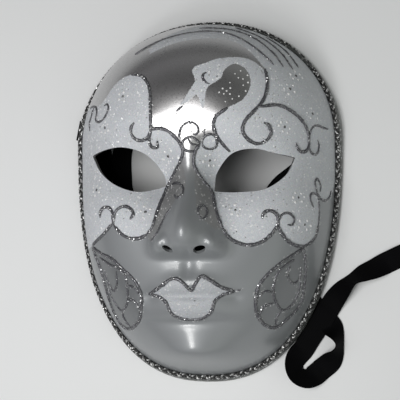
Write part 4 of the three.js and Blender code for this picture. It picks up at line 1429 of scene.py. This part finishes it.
class MASK_OT_ribbons(bpy.types.Operator):
    """Lays the two black satin ribbons that tie the mask on"""
    bl_idname = "mask.ribbons"
    bl_label = "Ribbons"

    def execute(self, context):
        ribbon = settings_of(context, "mask_ribbon")
        satin = satin_finish(ribbon)
        for side, route in (("right", RIGHT_ROUTE), ("left", LEFT_ROUTE)):
            width = ribbon.width / MM
            name = f"ribbon_{side}_satin"
            piece, centre, length = ribbon_strip(name, route, width, ribbon.thickness / MM, satin)
            path = [tuple(p) for p in (centre[::3] * MM)]
            if len(centre) % 3 != 1:
                path.append(tuple(centre[-1] * MM))
            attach(piece, "root")
            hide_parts(f"ribbon_{side}")
        return {"FINISHED"}


class MASK_OT_shell(bpy.types.Operator):
    """Builds the moulded face with its painted and glittered areas"""
    bl_idname = "mask.shell"
    bl_label = "Shell"

    def execute(self, context):
        shell = settings_of(context, "mask_shell")
        piece, plan, in_front = moulded_shell(shell)
        for name, values in paint_fields(plan).items():
            behind = np.full(len(plan), FAR if name == "near_line" else -FAR)
            store(piece, name, np.concatenate([values, behind]))
        piece.data.materials.append(shell_paint(shell))
        piece.data.materials.append(inside_finish(shell))
        slots = np.zeros(len(piece.data.polygons), np.int32)
        slots[in_front:] = 1
        piece.data.polygons.foreach_set("material_index", slots)
        smooth_faces(piece, 40.0)
        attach(piece, "root")
        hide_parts("mask_shell")
        return {"FINISHED"}


class MASK_OT_lines(bpy.types.Operator):
    """Draws the scrollwork in raised glitter glue"""
    bl_idname = "mask.lines"
    bl_label = "Glitter lines"

    def execute(self, context):
        lines = settings_of(context, "mask_lines")
        rows = []
        widths = []
        for half_width, route in GLUE_LINES:
            row, width = lifted_line(route, half_width, -lines.sink / MM)
            rows.append(row)
            widths.append(width)
        carrier = guide("glitter_lines_guide", rows, half_width=widths)
        piece = grown(carrier, glue_line_tree(), "glitter_lines", unevenness=lines.unevenness,
                      flake_radius=lines.flake_radius, flakes_per_square_metre=lines.flakes,
                      seed=FLAKE_SEED, glue=glue_finish(lines), foil=foil_finish())
        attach(piece, "root")
        return {"FINISHED"}


class MASK_OT_dabs(bpy.types.Operator):
    """Sets the small flowers of white dabs, and the strewn dabs beside the bird"""
    bl_idname = "mask.dabs"
    bl_label = "Dabs"

    def execute(self, context):
        tree = dab_tree()
        white = dab_finish("white_dab", 0.62, 0.78, 0.0)
        grey_dab = dab_finish("grey_dab", 0.05, 0.14, 0.5)
        groups = (
            ("flower_petals", petal_spots() + STREWN_DABS, DAB_RADIUS, white),
            ("flower_hearts", FLOWERS, HEART_RADIUS, grey_dab),
        )
        for name, spots, radius, paint in groups:
            plan = np.array(spots, float)
            plan = plan[clear_of_openings(plan) > radius]
            strewn = np.array([tuple(spot) in STREWN_DABS for spot in plan.tolist()])
            uneven = 1.0 + 0.16 * np.sin(7.0 * np.arange(len(plan)))
            sizes = radius * MM * uneven * np.where(strewn, STREWN_SHARE, 1.0)
            carrier = guide(name + "_guide", [on_face(plan)], size=sizes,
                            out=face_normals(plan[:, 0], plan[:, 1]))
            piece = grown(carrier, tree, name, paint=paint)
            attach(piece, "root")
        return {"FINISHED"}


class MASK_OT_braid(bpy.types.Operator):
    """Wraps the rim in metallic tape with a plait on top"""
    bl_idname = "mask.braid"
    bl_label = "Braid"

    def execute(self, context):
        braid = settings_of(context, "mask_braid")
        tape = tape_round_rim(woven_metal(braid))
        plait = plait_round_rim(braid)
        for piece in (tape, plait):
            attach(piece, "root")
        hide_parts("rim_braid")
        return {"FINISHED"}


# The table lies a hair under the mask, in millimetres.
TABLE_Z = -0.05


def add_light(context, name, towards, size, power):
    """A rectangular light that stands in this direction from the face and points at it."""
    light = bpy.data.objects.new(name, bpy.data.lights.new(name, "AREA"))
    light.data.shape = "RECTANGLE"
    light.data.size, light.data.size_y = size
    light.data.energy = power
    light.data.color = LIGHT_COLOUR
    context.scene.collection.objects.link(light)
    towards = Vector(towards).normalized()
    light.location = LIGHT_DISTANCE * towards + LIT_POINT
    light.rotation_euler = towards.to_track_quat("Z", "Y").to_euler()


def room(brightness):
    """A room that is brightest halfway up, and dimmer overhead, low down, left and beyond the brow."""
    world = bpy.data.worlds.new("room")
    world.use_nodes = True
    world.node_tree.nodes.clear()
    g = Graph(world.node_tree)
    direction = g.add("ShaderNodeTexCoord").outputs["Generated"]
    x, y, z = g.axes(direction)
    beyond = g.step(y, -0.05, 0.40)
    low = g.step(z, 0.95, 0.45)
    strength = g.blend(beyond, 1.0, g.step(z, 0.70, 0.30, 0.18, 0.42))
    strength = g.math("MULTIPLY", strength, g.blend(low, 0.36, 1.15))
    strength = g.math("MULTIPLY", strength, g.step(z, 0.06, 0.40, 0.35, 1.0))
    strength = g.math("MULTIPLY", strength, g.step(x, -0.8, 0.8, 0.80, 1.20))
    tint = g.mix(g.step(x, -1.0, 1.0), (0.99, 0.97, 1.02, 1.0), (0.96, 1.0, 0.94, 1.0))
    feeds = {0: tint, 1: g.math("MULTIPLY", strength, brightness)}
    background = g.add("ShaderNodeBackground", feeds)
    output = g.add("ShaderNodeOutputWorld")
    g.tree.links.new(background.outputs[0], output.inputs[0])
    return world


class MASK_OT_stage(bpy.types.Operator):
    """Sets the pale table and the soft lights"""
    bl_idname = "mask.stage"
    bl_label = "Stage"

    def execute(self, context):
        stage = settings_of(context, "mask_stage")
        half = 0.5 * stage.floor_size / MM
        corners = [(x * half, y * half, TABLE_Z) for x, y in ((-1, -1), (1, -1), (1, 1), (-1, 1))]
        table = new_object("table", corners, [(0, 1, 2, 3)])
        table.data.materials.append(floor_finish(stage))

        big = (stage.key_size, stage.key_size)
        add_light(context, "key_light", KEY_TOWARDS, big, stage.key_power)
        add_light(context, "window_light", WINDOW_TOWARDS, WINDOW_SIZE, stage.window_power)
        context.scene.world = room(stage.sky)
        context.scene.view_settings.view_transform = "Standard"
        return {"FINISHED"}


PIECES = ("camera", "ribbons", "shell", "lines", "dabs", "braid", "stage")


class MASK_PT_panel(bpy.types.Panel):
    """Lists the pieces of the mask"""
    bl_idname = "MASK_PT_panel"
    bl_label = "Mask"
    bl_space_type = "VIEW_3D"
    bl_region_type = "UI"
    bl_category = "Mask"

    def draw(self, context):
        for piece in PIECES:
            self.layout.operator("mask." + piece)
        for name in SETTINGS:
            box = self.layout.box()
            group = settings_of(context, name)
            for key in group.bl_rna.properties.keys():
                if key not in ("rna_type", "name"):
                    box.prop(group, key)


SETTINGS = {
    "mask_shell": ShellSettings,
    "mask_lines": LineSettings,
    "mask_braid": BraidSettings,
    "mask_ribbon": RibbonSettings,
    "mask_stage": StageSettings,
}
OPERATORS = (MASK_OT_camera, MASK_OT_ribbons, MASK_OT_shell, MASK_OT_lines, MASK_OT_dabs,
             MASK_OT_braid, MASK_OT_stage)


def register():
    """Adds the settings, the operators and the panel."""
    for group in SETTINGS.values():
        bpy.utils.register_class(group)
    for kind in OPERATORS + (MASK_PT_panel,):
        bpy.utils.register_class(kind)
    for name, group in SETTINGS.items():
        setattr(bpy.types.Scene, name, PointerProperty(type=group))


def unregister():
    """Removes the settings, the operators and the panel."""
    for name in SETTINGS:
        delattr(bpy.types.Scene, name)
    for kind in (MASK_PT_panel,) + OPERATORS:
        bpy.utils.unregister_class(kind)
    for group in SETTINGS.values():
        bpy.utils.unregister_class(group)


def main():
    """Builds the mask and its stage."""
    register()
    for piece in PIECES:
        getattr(bpy.ops.mask, piece)()


if __name__ == "__main__":
    main()
